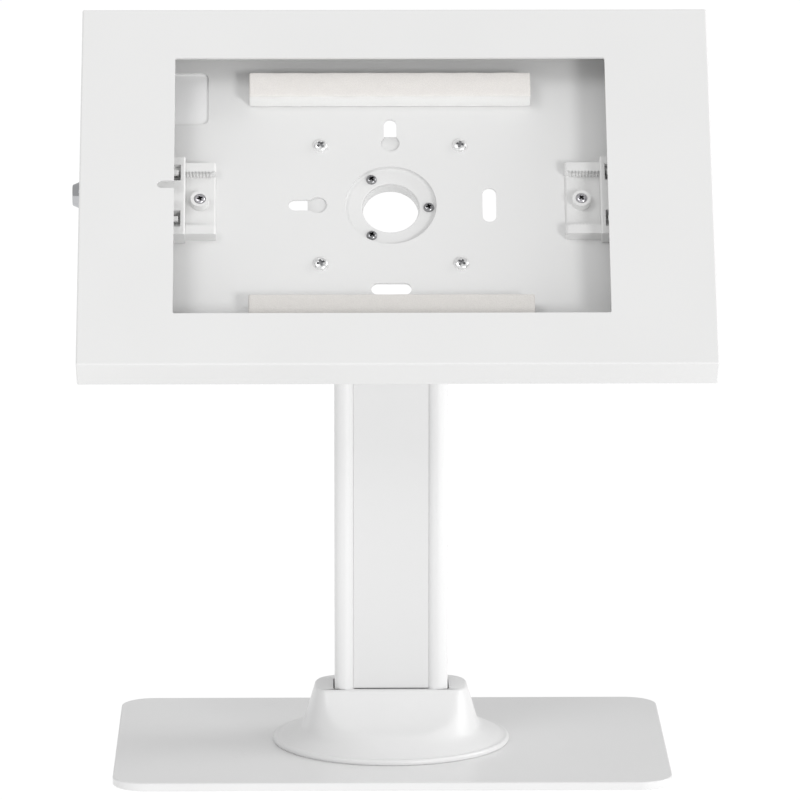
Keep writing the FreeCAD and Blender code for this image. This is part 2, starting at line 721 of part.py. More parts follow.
def swivel_hub():
    """Flanged hollow hub that turns in the bracket, with the tab that meets the stop pins."""
    body = rod(HUB_FLANGE_R, HUB_FLANGE_BACK, DISH_FLOOR_Z)
    half_width = STOP_TAB_R * sin(radians(STOP_TAB_HALF_ANGLE))
    body = body.fuse(box(-half_width, half_width, HUB_BARREL_R, STOP_TAB_R, HUB_FLANGE_BACK, DISH_FLOOR_Z))
    body = body.fuse(rod(HUB_BARREL_R, RETAINER_BACK, DISH_FLOOR_Z))
    body = body.cut(rod(HUB_BORE_R, RETAINER_BACK - 1, DISH_FLOOR_Z + 1))
    for x, y in hub_screw_places():
        body = body.cut(rod(M3_R, HUB_FLANGE_BACK - 1, DISH_FLOOR_Z + 1, x, y))
    return body.removeSplitter()


def retaining_ring():
    """Ring on the hub's end that holds it in the bracket."""
    return tube(RETAINER_R, HUB_BARREL_R, RETAINER_BACK, RETAINER_FRONT)


def hub_screws():
    """Three dark screws that hold the adapter plate on the hub."""
    screw = pan_screw(HUB_SCREW_HEAD_R, HUB_SCREW_HEAD_H, M3_R, PLATE_T + HUB_FLANGE_T)
    return Part.makeCompound([moved(screw, x, y, PLATE_BACK_Z) for x, y in hub_screw_places()])


def adapter_plate():
    """Square plate with a pressed dish, screwed to the back of the tray."""
    half = PLATE_SIZE / 2
    plate = rounded_block(-half, half, -half, half, PLATE_BACK_Z, BACK_Z, PLATE_CORNER_R)
    cup = rod(HUB_HOLE_R + PLATE_T, DISH_FLOOR_Z, PLATE_BACK_Z)
    plate = plate.fuse(cup).cut(rod(HUB_HOLE_R, PLATE_BACK_Z, BACK_Z + 1))
    plate = plate.cut(rod(DISH_BORE_R, DISH_FLOOR_Z - 1, BACK_Z))
    for x, y in hub_screw_places():
        plate = plate.cut(rod(M3_R + HOLE_CLEARANCE, DISH_FLOOR_Z - 1, BACK_Z, x, y))
    for x, y in corner_points(SCREW_SQUARE / 2, SCREW_SQUARE / 2):
        plate = plate.cut(rod(M4_R + HOLE_CLEARANCE, PLATE_BACK_Z - 1, BACK_Z + 1, x, y))
    return plate.removeSplitter()


def adapter_screws():
    """Four pan head screws on the 75 mm square."""
    screw = pan_screw(PAN_HEAD_R, PAN_HEAD_H, M4_R, SHEET_T + PLATE_T + NUT_M4_H + 1.0)
    places = corner_points(SCREW_SQUARE / 2, SCREW_SQUARE / 2)
    return Part.makeCompound([moved(screw, x, y, 0) for x, y in places])


def adapter_nuts():
    """Four nuts behind the adapter plate."""
    places = corner_points(SCREW_SQUARE / 2, SCREW_SQUARE / 2)
    return Part.makeCompound([hex_nut(NUT_M4_AF, M4_R, PLATE_BACK_Z - NUT_M4_H, PLATE_BACK_Z, x, y)
                              for x, y in places])


# Rear tray and what is fixed in it, in the head frame


def keyhole(turns):
    """Cutter for one keyhole, pointing up, turned by quarter turns about the hub."""
    low = BACK_Z - 1
    neck_end = KEYHOLE_END - KEYHOLE_NECK_R
    cutter = rod(KEYHOLE_R, low, 1, 0, KEYHOLE_OFFSET)
    cutter = cutter.fuse(box(-KEYHOLE_NECK_R, KEYHOLE_NECK_R, KEYHOLE_OFFSET, neck_end, low, 1))
    cutter = cutter.fuse(rod(KEYHOLE_NECK_R, low, 1, 0, neck_end))
    cutter.rotate(vec(0, 0, 0), vec(0, 0, 1), 90 * turns)
    return cutter


def slot(turns):
    """Cutter for one long slot below the hub, turned by quarter turns about it."""
    half_w = SLOT_W / 2
    cutter = rounded_block(-SLOT_L / 2, SLOT_L / 2, -SLOT_OFFSET - half_w, -SLOT_OFFSET + half_w,
                           BACK_Z - 1, 1, half_w - 0.01)
    cutter.rotate(vec(0, 0, 0), vec(0, 0, 1), 90 * turns)
    return cutter


def blank_screw_places():
    """Places of the two screws in the blanking plate, to the left of the camera window."""
    x = CAMERA_X - CAMERA_SIZE / 2 - BLANK_MARGIN / 2
    return [(x, CAMERA_Y - CAMERA_SIZE / 4), (x, CAMERA_Y + CAMERA_SIZE / 4)]


def rear_tray():
    """Folded steel pan: back sheet with its holes, and four walls."""
    outer = rounded_block(TRAY_LEFT, TRAY_RIGHT, -TRAY_HALF_H, TRAY_HALF_H,
                          BACK_Z, TRAY_FRONT_Z, TRAY_CORNER_R)
    bend = [edge for edge in outer.Edges if edge.BoundBox.ZMax < BACK_Z + 1e-3]
    outer = outer.makeFillet(SHEET_T * 0.8, bend)
    wall = SHEET_T
    inner = rounded_block(TRAY_LEFT + wall, TRAY_RIGHT - wall, -TRAY_HALF_H + wall, TRAY_HALF_H - wall,
                          0, TRAY_FRONT_Z + 1, TRAY_CORNER_R - wall)
    tray = outer.cut(inner)
    tray = tray.cut(rod(HUB_HOLE_R, BACK_Z - 1, 1))
    for x, y in corner_points(SCREW_SQUARE / 2, SCREW_SQUARE / 2):
        tray = tray.cut(rod(M4_R + HOLE_CLEARANCE, BACK_Z - 1, 1, x, y))
    for turns in (0, 1):
        tray = tray.cut(keyhole(turns))
    for turns in (0, 1):
        tray = tray.cut(slot(turns))
    half = CAMERA_SIZE / 2
    tray = tray.cut(rounded_block(CAMERA_X - half, CAMERA_X + half, CAMERA_Y - half, CAMERA_Y + half,
                                  BACK_Z - 1, 1, CAMERA_R))
    for x, y in blank_screw_places():
        tray = tray.cut(rod(M3_R, BACK_Z - 1, 1, x, y))
    for side in (-1, 1):
        tray = tray.cut(rod(M3_R + HOLE_CLEARANCE, BACK_Z - 1, 1, side * BOSS_X, 0))
    gap = LOCK_BARREL_R + LOCK_NOTCH_GAP
    x0 = TRAY_LEFT - 1
    x1 = TRAY_LEFT + wall + 1
    tray = tray.cut(cross_rod(gap, x0, x1, 0, LOCK_Z))
    tray = tray.cut(box(x0, x1, -gap, gap, LOCK_Z, TRAY_FRONT_Z + 1))
    return tray.removeSplitter()


def camera_blank():
    """Blanking plate over the rear camera window, on the outside of the tray."""
    half = CAMERA_SIZE / 2 + BLANK_MARGIN
    plate = rounded_block(CAMERA_X - half, CAMERA_X + half, CAMERA_Y - half, CAMERA_Y + half,
                          BACK_Z - BLANK_T, BACK_Z, CAMERA_R)
    for x, y in blank_screw_places():
        plate = plate.cut(rod(M3_R + HOLE_CLEARANCE, BACK_Z - BLANK_T - 1, BACK_Z + 1, x, y))
    return plate


def camera_blank_screws():
    """Two small screws that hold the blanking plate."""
    screw = pan_screw(BLANK_SCREW_HEAD_R, BLANK_SCREW_HEAD_H, M3_R, BLANK_T + SHEET_T)
    screw.rotate(vec(0, 0, 0), vec(1, 0, 0), 180)
    return Part.makeCompound([moved(screw, x, y, BACK_Z - BLANK_T) for x, y in blank_screw_places()])


def foam_bar(side):
    """Foam bar above (side 1) or below (side -1) the adapter screws."""
    y0 = FOAM_INNER_EDGE if side > 0 else -FOAM_INNER_EDGE - FOAM_H
    bar = box(-FOAM_L / 2, FOAM_L / 2, y0, y0 + FOAM_H, 0, FOAM_DEPTH)
    front = [edge for edge in bar.Edges if edge.BoundBox.ZMin > FOAM_DEPTH - 1e-3]
    return bar.makeFillet(FOAM_EDGE_R, front)


def rack_teeth(y_root, direction):
    """A row of teeth along a rib of the right-hand track, pointing in the given direction."""
    start = TRACK_INNER_X + TOOTH_INSET
    count = int((TRACK_L - TOOTH_INSET) / TOOTH_PITCH)
    teeth = []
    for index in range(count):
        x = start + index * TOOTH_PITCH
        points = [
            vec(x, y_root - direction * 0.2, 0.1),
            vec(x, y_root, 0.1),
            vec(x + TOOTH_PITCH * 0.35, y_root + direction * TOOTH_DEPTH, 0.1),
            vec(x + TOOTH_PITCH * 0.55, y_root + direction * TOOTH_DEPTH, 0.1),
            vec(x + TOOTH_PITCH * 0.9, y_root, 0.1),
            vec(x + TOOTH_PITCH * 0.9, y_root - direction * 0.2, 0.1),
        ]
        points.append(points[0])
        teeth.append(Part.Face(Part.makePolygon(points)).extrude(vec(0, 0, TRACK_RIB_H - 0.1)))
    return teeth


def end_slope(z_top, half_h):
    """Cutter that slopes the edge of the right-hand track's inner end, below a top."""
    x0 = TRACK_INNER_X
    slope = TRACK_END_SLOPE
    outline = [(x0, z_top - slope), (x0 + slope, z_top), (x0 - 1, z_top + 1), (x0, z_top - slope)]
    points = [vec(x, -half_h, z) for x, z in outline]
    return Part.Face(Part.makePolygon(points)).extrude(vec(0, 2 * half_h, 0))


def clamp_track():
    """Right-hand track: a floor, two toothed ribs and the screw boss, with a sloped inner end."""
    x0 = TRACK_INNER_X
    x1 = TRACK_INNER_X + TRACK_L
    body = box(x0, x1, -TRACK_HALF_H, TRACK_HALF_H, 0, TRACK_FLOOR_T)
    for side in (-1, 1):
        edge = side * TRACK_HALF_H
        root = side * (TRACK_HALF_H - TRACK_RIB_W)
        rib = box(x0, x1, min(edge, root), max(edge, root), 0, TRACK_RIB_H)
        body = body.fuse([rib] + rack_teeth(root, -side))
    body = body.cut(end_slope(TRACK_RIB_H, TRACK_HALF_H + 1))
    body = body.cut(end_slope(TRACK_FLOOR_T, TRACK_HALF_H - TRACK_RIB_W))
    body = body.fuse(rod(BOSS_R, 0, BOSS_H, BOSS_X, 0))
    body = body.cut(rod(M3_R + HOLE_CLEARANCE, -1, BOSS_H + 1, BOSS_X, 0))
    sink = CLAMP_HEAD_R + HOLE_CLEARANCE
    body = body.cut(rod(sink, BOSS_H - CLAMP_HEAD_SINK, BOSS_H + 1, BOSS_X, 0))
    return body.removeSplitter()


def clamp_screw():
    """Right-hand screw that holds the track on the back sheet."""
    seat = BOSS_H - CLAMP_HEAD_SINK
    screw = pan_screw(CLAMP_HEAD_R, CLAMP_HEAD_H, M3_R, seat + SHEET_T + NUT_M3_H + 0.6)
    return moved(screw, BOSS_X, 0, seat)


def clamp_nut():
    """Right-hand nut behind the back sheet."""
    return hex_nut(NUT_M3_AF, M3_R, BACK_Z - NUT_M3_H, BACK_Z, BOSS_X, 0)


def jaw():
    """Right-hand jaw: a ledge under the tablet's edge, a wall beside it, and two spring fingers.

    It is grooved below to ride over the track's ribs.
    """
    x0 = JAW_INNER_X
    x1 = JAW_INNER_X + JAW_L
    wall_x = x1 - JAW_WALL_T
    slope = JAW_EDGE_SLOPE
    profile = [
        (x0, JAW_CLEARANCE), (x0, JAW_LEDGE_H - slope), (x0 + slope, JAW_LEDGE_H), (wall_x, JAW_LEDGE_H),
        (wall_x, JAW_WALL_TOP), (x1, JAW_WALL_TOP), (x1, JAW_CLEARANCE), (x0, JAW_CLEARANCE),
    ]
    points = [vec(x, -JAW_HALF_H, z) for x, z in profile]
    body = Part.Face(Part.makePolygon(points)).extrude(vec(0, 2 * JAW_HALF_H, 0))
    gap = JAW_CLEARANCE
    floor_half = TRACK_HALF_H + gap
    body = body.cut(box(x0 - 1, x1 + 1, -floor_half, floor_half, -1, TRACK_FLOOR_T + gap))
    slot_x = x0 + JAW_SLOT_INSET
    for side in (-1, 1):
        far = side * floor_half
        near = side * (TRACK_HALF_H - TRACK_RIB_W - TOOTH_DEPTH - gap)
        body = body.cut(box(x0 - 1, x1 + 1, min(far, near), max(far, near), -1, TRACK_RIB_H + gap))
        slot_y = side * JAW_SLOT_Y
        body = body.cut(box(slot_x, slot_x + JAW_SLOT_L, slot_y - JAW_SLOT_H / 2, slot_y + JAW_SLOT_H / 2,
                            -1, JAW_LEDGE_H + 1))
        body = body.fuse(box(slot_x + JAW_FINGER_GAP, slot_x + JAW_SLOT_L, slot_y - JAW_FINGER_W / 2,
                             slot_y + JAW_FINGER_W / 2, JAW_LEDGE_H - JAW_FINGER_T, JAW_LEDGE_H))
    return body.removeSplitter()


# Front cover, its hinge and its lock, in the head frame


def front_cover():
    """Folded steel cover with the window, the camera notch and the lock hole."""
    outer = box(COVER_LEFT, COVER_RIGHT, -FACE_H / 2, FACE_H / 2, FLANGE_Z, FACE_Z)
    bends = [edge for edge in outer.Edges if edge.BoundBox.ZMax > FLANGE_Z + 1e-3]
    outer = outer.makeFillet(BEND_R, bends)
    inner = rounded_block(COVER_LEFT + SHEET_T, COVER_RIGHT - SHEET_T, -FACE_H / 2 + SHEET_T,
                          FACE_H / 2 - SHEET_T, FLANGE_Z - 1, COVER_INNER_Z, COVER_INNER_R)
    cover = outer.cut(inner)
    window = rounded_block(-WINDOW_W / 2, WINDOW_W / 2, -WINDOW_H / 2, WINDOW_H / 2,
                           COVER_INNER_Z - 1, FACE_Z + 1, WINDOW_CORNER_R)
    notch_r = NOTCH_H / 2
    notch_end = -WINDOW_W / 2 - NOTCH_L + notch_r
    notch = box(notch_end, -WINDOW_W / 2 + 1, -notch_r, notch_r, COVER_INNER_Z - 1, FACE_Z + 1)
    notch = notch.fuse(rod(notch_r, COVER_INNER_Z - 1, FACE_Z + 1, notch_end, 0))
    cover = cover.cut(window).cut(notch)
    cover = cover.cut(cross_rod(LOCK_BARREL_R + RUNNING_CLEARANCE, COVER_LEFT - 1, COVER_LEFT + SHEET_T + 1,
                                0, LOCK_Z))
    return cover.removeSplitter()


def knuckle_spans():
    """The stretches of the hinge's knuckles along y, from the bottom."""
    pitch = HINGE_L / KNUCKLE_COUNT
    half_gap = KNUCKLE_END_GAP / 2
    return [(-HINGE_L / 2 + i * pitch + half_gap, -HINGE_L / 2 + (i + 1) * pitch - half_gap)
            for i in range(KNUCKLE_COUNT)]


def hinge_leaf(leaf_x, first):
    """One leaf: a strip against a wall, with every second knuckle round the pin."""
    reach = KNUCKLE_R + KNUCKLE_GAP
    strip = box(leaf_x, leaf_x + LEAF_T, -HINGE_L / 2, HINGE_L / 2, HINGE_Z + KNUCKLE_R, HINGE_Z + LEAF_H)
    body = strip
    toward = min(leaf_x, HINGE_X)
    away = max(leaf_x + LEAF_T, HINGE_X)
    for y0, y1 in knuckle_spans()[first::2]:
        barrel = Part.makeCylinder(KNUCKLE_R, y1 - y0, vec(HINGE_X, y0, HINGE_Z), vec(0, 1, 0))
        bridge = box(toward, away, y0, y1, HINGE_Z + KNUCKLE_R - LEAF_T, HINGE_Z + KNUCKLE_R)
        root = box(leaf_x, leaf_x + LEAF_T, y0, y1, HINGE_Z + KNUCKLE_R - LEAF_T, HINGE_Z + KNUCKLE_R + 1)
        body = body.fuse([barrel, bridge, root])
    return body.cut(hinge_rod(HINGE_PIN_R + RUNNING_CLEARANCE, reach)).removeSplitter()


def hinge_rod(radius, extra):
    """A rod along the hinge's axis."""
    length = HINGE_L + 2 * extra
    return Part.makeCylinder(radius, length, vec(HINGE_X, -length / 2, HINGE_Z), vec(0, 1, 0))


def hinge_pin():
    """Pin of the cover's hinge, with a small head at each end."""
    head = KNUCKLE_R * 0.8
    pin = hinge_rod(HINGE_PIN_R, head)
    for side in (-1, 1):
        start = side * (HINGE_L / 2 + 0.15)
        end = Part.makeCylinder(head, head, vec(HINGE_X, start, HINGE_Z), vec(0, side, 0))
        pin = pin.fuse(end)
    return pin


def lock_along_x(shape, x):
    """Turn a shape built along Z so that z runs inwards along X from x, and set it on the lock."""
    turned = shape.copy()
    turned.rotate(vec(0, 0, 0), vec(0, 1, 0), 90)
    turned.translate(vec(x, 0, LOCK_Z))
    return turned


def lock_body():
    """Chromed lock housing: a tapered head outside and a barrel through the cover."""
    head = Part.makeCone(LOCK_HEAD_TIP_R, LOCK_HEAD_R, LOCK_HEAD_H, vec(0, 0, -LOCK_HEAD_H))
    tip = [edge for edge in head.Edges if edge.Closed and edge.BoundBox.ZMax < -LOCK_HEAD_H + 1e-3]
    head = head.makeFillet(0.7, tip)
    body = head.fuse(rod(LOCK_BARREL_R, 0, LOCK_BARREL_L))
    body = body.cut(rod(LOCK_CORE_R + RUNNING_CLEARANCE, -LOCK_HEAD_H - 1, LOCK_BARREL_L + 1))
    return lock_along_x(body, COVER_LEFT)


def lock_nut():
    """Nut that clamps the lock housing on the cover's wall."""
    nut = hex_nut(LOCK_NUT_AF, LOCK_BARREL_R, SHEET_T, SHEET_T + LOCK_NUT_T)
    return lock_along_x(nut, COVER_LEFT)


def lock_core():
    """Core that the key turns, with its keyway and the square that drives the cam."""
    front = -LOCK_HEAD_H + LOCK_CORE_SINK
    core = rod(LOCK_CORE_R, front, LOCK_BARREL_L + AXIAL_GAP)
    drive = CAM_DRIVE_HALF
    end = LOCK_BARREL_L + AXIAL_GAP + CAM_T
    core = core.fuse(box(-drive, drive, -drive, drive, LOCK_BARREL_L, end))
    keyway = box(-KEYWAY_L / 2, KEYWAY_L / 2, -KEYWAY_W / 2, KEYWAY_W / 2, front - 1, front + KEYWAY_DEPTH)
    return lock_along_x(core.cut(keyway), COVER_LEFT)


def lock_cam():
    """Cam plate on the core, stored pointing at the back sheet, clear of the keeper."""
    x0 = LOCK_INNER_X + AXIAL_GAP
    x1 = x0 + CAM_T
    tip_z = LOCK_Z - (CAM_L - CAM_HALF_W)
    plate = box(x0, x1, -CAM_HALF_W, CAM_HALF_W, tip_z, LOCK_Z)
    plate = plate.fuse(cross_rod(CAM_HALF_W, x0, x1, 0, LOCK_Z))
    plate = plate.fuse(cross_rod(CAM_HALF_W, x0, x1, 0, tip_z))
    drive = CAM_DRIVE_HALF
    plate = plate.cut(box(x0 - 1, x1 + 1, -drive, drive, LOCK_Z - drive, LOCK_Z + drive))
    return plate.removeSplitter()


def cam_screw():
    """Screw that holds the cam on the core."""
    head = rod(CAM_SCREW_HEAD_R, 0, CAM_SCREW_HEAD_H)
    slit = box(-CAM_SCREW_HEAD_R, CAM_SCREW_HEAD_R, -0.5, 0.5, CAM_SCREW_HEAD_H * 0.45, CAM_SCREW_HEAD_H + 1)
    return lock_along_x(head.cut(slit), LOCK_INNER_X + AXIAL_GAP + CAM_T)


def lock_keeper():
    """Bracket on the back sheet whose shelf holds the cam down when it is turned."""
    x0 = LOCK_INNER_X + AXIAL_GAP
    x1 = x0 + KEEPER_W
    shelf_z0 = LOCK_Z + CAM_HALF_W + KEEPER_CAM_GAP
    shelf_z1 = shelf_z0 + KEEPER_T
    shelf_y0 = LOCK_BARREL_R + KEEPER_CAM_GAP
    leg_y = shelf_y0 + KEEPER_SHELF_L
    body = box(x0, x1, shelf_y0, leg_y, shelf_z0, shelf_z1)
    body = body.fuse(box(x0, x1, leg_y - KEEPER_T, leg_y, 0, shelf_z1))
    body = body.fuse(box(x0, x1, leg_y - KEEPER_T, leg_y + KEEPER_SHELF_L, 0, KEEPER_T))
    return body.removeSplitter()


def steel_washers():
    """Washers under the bolt's head and the nut."""
    return washer_pair(SIDE_EAR_OUT + AXIAL_GAP, STEEL_WASHER_T)


def nylon_washers():
    """Friction washers between the fork and the bracket."""
    return washer_pair(FORK_OUTER_HALF, NYLON_WASHER_T)


def build():
    """Every sub-part by node name, in the world frame."""
    rear_leaf = hinge_leaf(TRAY_RIGHT, 0)
    front_leaf = hinge_leaf(COVER_RIGHT - SHEET_T - LEAF_T, 1)
    stand = {
        "base_plate": base_plate(),
        "feet": feet(),
        "base_cover": base_cover(),
        "column": column(),
        "column_screws": column_screws(),
        "cable_cover": cable_cover(),
        "fork": fork(),
        "fork_screws": fork_screws(),
        "tilt_bolt": tilt_bolt(),
        "tilt_nut": tilt_nut(),
        "nylon_washers": nylon_washers(),
        "steel_washers": steel_washers(),
    }
    head = {
        "tilt_bracket": tilt_bracket(),
        "stop_pins": stop_pins(),
        "swivel_washer": swivel_washer(),
        "swivel_hub": swivel_hub(),
        "retaining_ring": retaining_ring(),
        "hub_screws": hub_screws(),
        "adapter_plate": adapter_plate(),
        "adapter_screws": adapter_screws(),
        "adapter_nuts": adapter_nuts(),
        "rear_tray": rear_tray(),
        "camera_blank": camera_blank(),
        "camera_blank_screws": camera_blank_screws(),
        "foam_bar_top": foam_bar(1),
        "foam_bar_bottom": foam_bar(-1),
        "clamp_track_right": clamp_track(),
        "clamp_track_left": mirrored(clamp_track()),
        "clamp_screws": Part.makeCompound([clamp_screw(), mirrored(clamp_screw())]),
        "clamp_nuts": Part.makeCompound([clamp_nut(), mirrored(clamp_nut())]),
        "jaw_right": moved(jaw(), JAW_RIGHT_SHIFT),
        "jaw_left": mirrored(jaw()),
        "lock_keeper": lock_keeper(),
        "hinge_leaf_rear": rear_leaf,
        "hinge_pin": hinge_pin(),
        "hinge_leaf_front": front_leaf,
        "front_cover": front_cover(),
        "lock_body": lock_body(),
        "lock_nut": lock_nut(),
        "lock_core": lock_core(),
        "lock_cam": lock_cam(),
        "cam_screw": cam_screw(),
    }
    parts = dict(stand)
    for name, shape in head.items():
        parts[name] = on_head(shape)
    return parts


def main():
    """Write one STEP file per sub-part."""
    os.makedirs("parts", exist_ok=True)
    for name, shape in build().items():
        if not shape.isValid():
            print("not valid:", name)
        shape.exportStep("parts/" + name + ".step")
        print(name, len(shape.Solids), "solids", round(shape.Volume / 1000, 2), "cm3")


main()
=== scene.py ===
"""Looks of a tabletop tablet holder: a windowed steel enclosure on a tilting, swivelling head.

Lengths are in millimetres in this file and become metres where a mesh is made. Two frames are used:
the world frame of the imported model, and the head frame, whose origin lies on the swivel axis at the
back sheet's inner face, with x to the right, y up along the face and z out of the face.
"""
import json
import math

import bmesh
import bpy
import numpy as np
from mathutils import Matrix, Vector

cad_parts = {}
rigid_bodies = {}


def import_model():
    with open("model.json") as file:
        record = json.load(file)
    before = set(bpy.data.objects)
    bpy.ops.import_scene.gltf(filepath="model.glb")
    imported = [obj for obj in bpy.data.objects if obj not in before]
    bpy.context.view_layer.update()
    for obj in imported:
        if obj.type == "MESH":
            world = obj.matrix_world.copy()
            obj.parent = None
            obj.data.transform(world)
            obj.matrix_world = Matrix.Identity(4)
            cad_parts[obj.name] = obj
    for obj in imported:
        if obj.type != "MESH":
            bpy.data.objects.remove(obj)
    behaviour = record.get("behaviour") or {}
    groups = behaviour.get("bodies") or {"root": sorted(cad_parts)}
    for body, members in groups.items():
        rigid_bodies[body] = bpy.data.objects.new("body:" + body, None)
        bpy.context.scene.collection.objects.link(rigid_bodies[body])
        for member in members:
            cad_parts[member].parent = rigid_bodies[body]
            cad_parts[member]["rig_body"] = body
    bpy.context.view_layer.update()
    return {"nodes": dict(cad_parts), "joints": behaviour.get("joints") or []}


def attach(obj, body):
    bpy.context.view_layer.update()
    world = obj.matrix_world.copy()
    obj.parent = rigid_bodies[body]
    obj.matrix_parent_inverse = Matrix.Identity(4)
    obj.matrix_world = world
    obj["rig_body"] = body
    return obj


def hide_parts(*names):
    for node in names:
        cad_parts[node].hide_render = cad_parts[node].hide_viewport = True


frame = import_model()

MM = 0.001

# Least value of a divisor
TINY = 1e-6

NODES = frame["nodes"]
JOINTS = {joint["name"]: joint for joint in frame["joints"]}

# Camera, from the fit to the photograph: its place, the way it looks, and its lens
CAMERA_PLACE = (-38.29, -3497.08, 824.05)
CAMERA_AIM = (0.01216, 0.98403, -0.17761)
CAMERA_LENS = 297.33
SENSOR = 36.0

# The head frame, from the swivel joint
HEAD_ORIGIN = np.array(JOINTS["head_swivel"]["pos_m"]) / MM
HEAD_OUT = np.array(JOINTS["head_swivel"]["axis"])
HEAD_RIGHT = np.array([1.0, 0.0, 0.0])
HEAD_UP = np.cross(HEAD_OUT, HEAD_RIGHT)
HEAD_AXES = np.array([HEAD_RIGHT, HEAD_UP, HEAD_OUT])


def to_world(points):
    """Head frame to world frame: origin + x right + y up + z out."""
    return HEAD_ORIGIN + np.asarray(points, float) @ HEAD_AXES


def node_points(node, head):
    """A node's corners in millimetres, in the head frame or the world frame."""
    mesh = NODES[node].data
    flat = np.zeros(len(mesh.vertices) * 3)
    mesh.vertices.foreach_get("co", flat)
    points = flat.reshape(-1, 3) / MM
    return (points - HEAD_ORIGIN) @ HEAD_AXES.T if head else points


def extent(node, head=True):
    """Lowest and highest corner of a node, in millimetres."""
    points = node_points(node, head)
    return points.min(0), points.max(0)


# Values that a mesh holds at its points for its material: how deep a point lies in a driver recess,
# which the material darkens, partly as painted shade, and whether it lies on a foam bar's cut side,
# which the material lightens, partly as painted light
RECESS_SHARE = "recess"
CUT_AND_LIT_SHARE = "cut_and_lit_side"


# Shader writing


class Signal:
    """A shader socket on which Python arithmetic can be written."""

    def __init__(self, coat, socket):
        self.coat = coat
        self.socket = socket

    def using(self, operation, *values):
        return self.coat.add("ShaderNodeMath", {"operation": operation}, dict(enumerate(values)))

    def __add__(self, other):
        return self.using("ADD", self, other)

    def __radd__(self, other):
        return self.using("ADD", other, self)

    def __sub__(self, other):
        return self.using("SUBTRACT", self, other)

    def __rsub__(self, other):
        return self.using("SUBTRACT", other, self)

    def __mul__(self, other):
        return self.using("MULTIPLY", self, other)

    def __rmul__(self, other):
        return self.using("MULTIPLY", other, self)

    def clipped(self, low, high):
        """The signal brought from low..high to 0..1, with soft ends."""
        settings = {"interpolation_type": "SMOOTHSTEP"}
        return self.coat.add("ShaderNodeMapRange", settings, {0: self, 1: low, 2: high, 3: 0.0, 4: 1.0})

    def swing(self, amount):
        """The signal about its middle, from -amount / 2 to amount / 2."""
        return (self - 0.5) * amount


class Coat:
    """One material and the one method that adds a node of any kind to it."""

    def __init__(self, name):
        self.material = bpy.data.materials.new(name)
        self.material.use_nodes = True
        self.tree = self.material.node_tree
        self.tree.nodes.clear()
        self.output = self.tree.nodes.new("ShaderNodeOutputMaterial")
        place = self.tree.nodes.new("ShaderNodeTexCoord")
        self.place = Signal(self, place.outputs["Object"])

    def add(self, kind, settings, values, output=0):
        """Add a node: its settings first, then its sockets' values or links; one output comes back."""
        node = self.tree.nodes.new(kind)
        for key, value in settings.items():
            setattr(node, key, value)
        for key, value in values.items():
            if isinstance(value, Signal):
                self.tree.links.new(value.socket, node.inputs[key])
            else:
                node.inputs[key].default_value = value
        return Signal(self, node.outputs[output])

    def noise(self, size, detail, stretch=(1.0, 1.0, 1.0)):
        """Noise whose blobs are about size millimetres across, longer along stretched axes."""
        scale = tuple(1.0 / value for value in stretch)
        place = self.add("ShaderNodeMapping", {}, {"Vector": self.place, "Scale": scale})
        sockets = {"Vector": place, "Scale": 1.0 / (size * MM), "Detail": detail}
        return self.add("ShaderNodeTexNoise", {}, sockets)

    def cells(self, size):
        """Distance to the nearest cell centre, cells about size millimetres across."""
        sockets = {"Vector": self.place, "Scale": 1.0 / (size * MM)}
        return self.add("ShaderNodeTexVoronoi", {}, sockets)

    def mix(self, share, first, second):
        """Colour that goes from first to second as share goes from 0 to 1."""
        first, second = (v if isinstance(v, Signal) else (*v, 1.0) for v in (first, second))
        settings = {"data_type": "RGBA"}
        return self.add("ShaderNodeMix", settings, {0: share, 6: first, 7: second}, output=2)

    def tinted(self, share, shade, darker, lighter):
        """A shade whose brightness goes from one factor to another as share goes from 0 to 1."""
        first, second = ([min(v * factor, 1.0) for v in shade] for factor in (darker, lighter))
        return self.mix(share, first, second)

    def mesh_value(self, name):
        """A value that the mesh holds at its points under a name."""
        return self.add("ShaderNodeAttribute", {"attribute_name": name}, {}, output=2)

    def bump(self, height, depth, below=None):
        """Normal that shows a height signal as relief depth millimetres deep."""
        sockets = {"Height": height, "Distance": depth * MM, "Strength": 1.0}
        if below is not None:
            sockets["Normal"] = below
        return self.add("ShaderNodeBump", {}, sockets)

    def finish(self, **sockets):
        """End the material in one glossy shader with the given sockets."""
        named = {key.replace("_", " "): value for key, value in sockets.items()}
        shader = self.add("ShaderNodeBsdfPrincipled", {}, named)
        self.tree.links.new(shader.socket, self.output.inputs["Surface"])
        return self.material


def powder_coat(name, shade, roughness):
    """Baked powder coat: faint orange peel, very fine grain, and a slight drift of tone."""
    coat = Coat(name)
    drift = coat.noise(size=60.0, detail=1.0)
    peel = coat.noise(size=1.6, detail=1.0)
    grain = coat.noise(size=0.35, detail=1.0)
    return coat.finish(Base_Color=coat.tinted(drift, shade, darker=0.985, lighter=1.012),
                       Roughness=roughness + drift.swing(0.08) + grain.swing(0.06),
                       Normal=coat.bump(peel * 0.7 + grain * 0.3, depth=0.018))


def moulded_plastic(name, shade, roughness, grain_size=0.3):
    """Moulded plastic: a fine spark-eroded grain with long soft flow marks."""
    coat = Coat(name)
    grain = coat.noise(size=grain_size, detail=2.0)
    flow = coat.noise(size=26.0, detail=1.0, stretch=(1.0, 1.0, 3.0))
    return coat.finish(Base_Color=coat.tinted(flow, shade, darker=0.985, lighter=1.01),
                       Roughness=roughness + flow.swing(0.1), Normal=coat.bump(grain, depth=0.01))


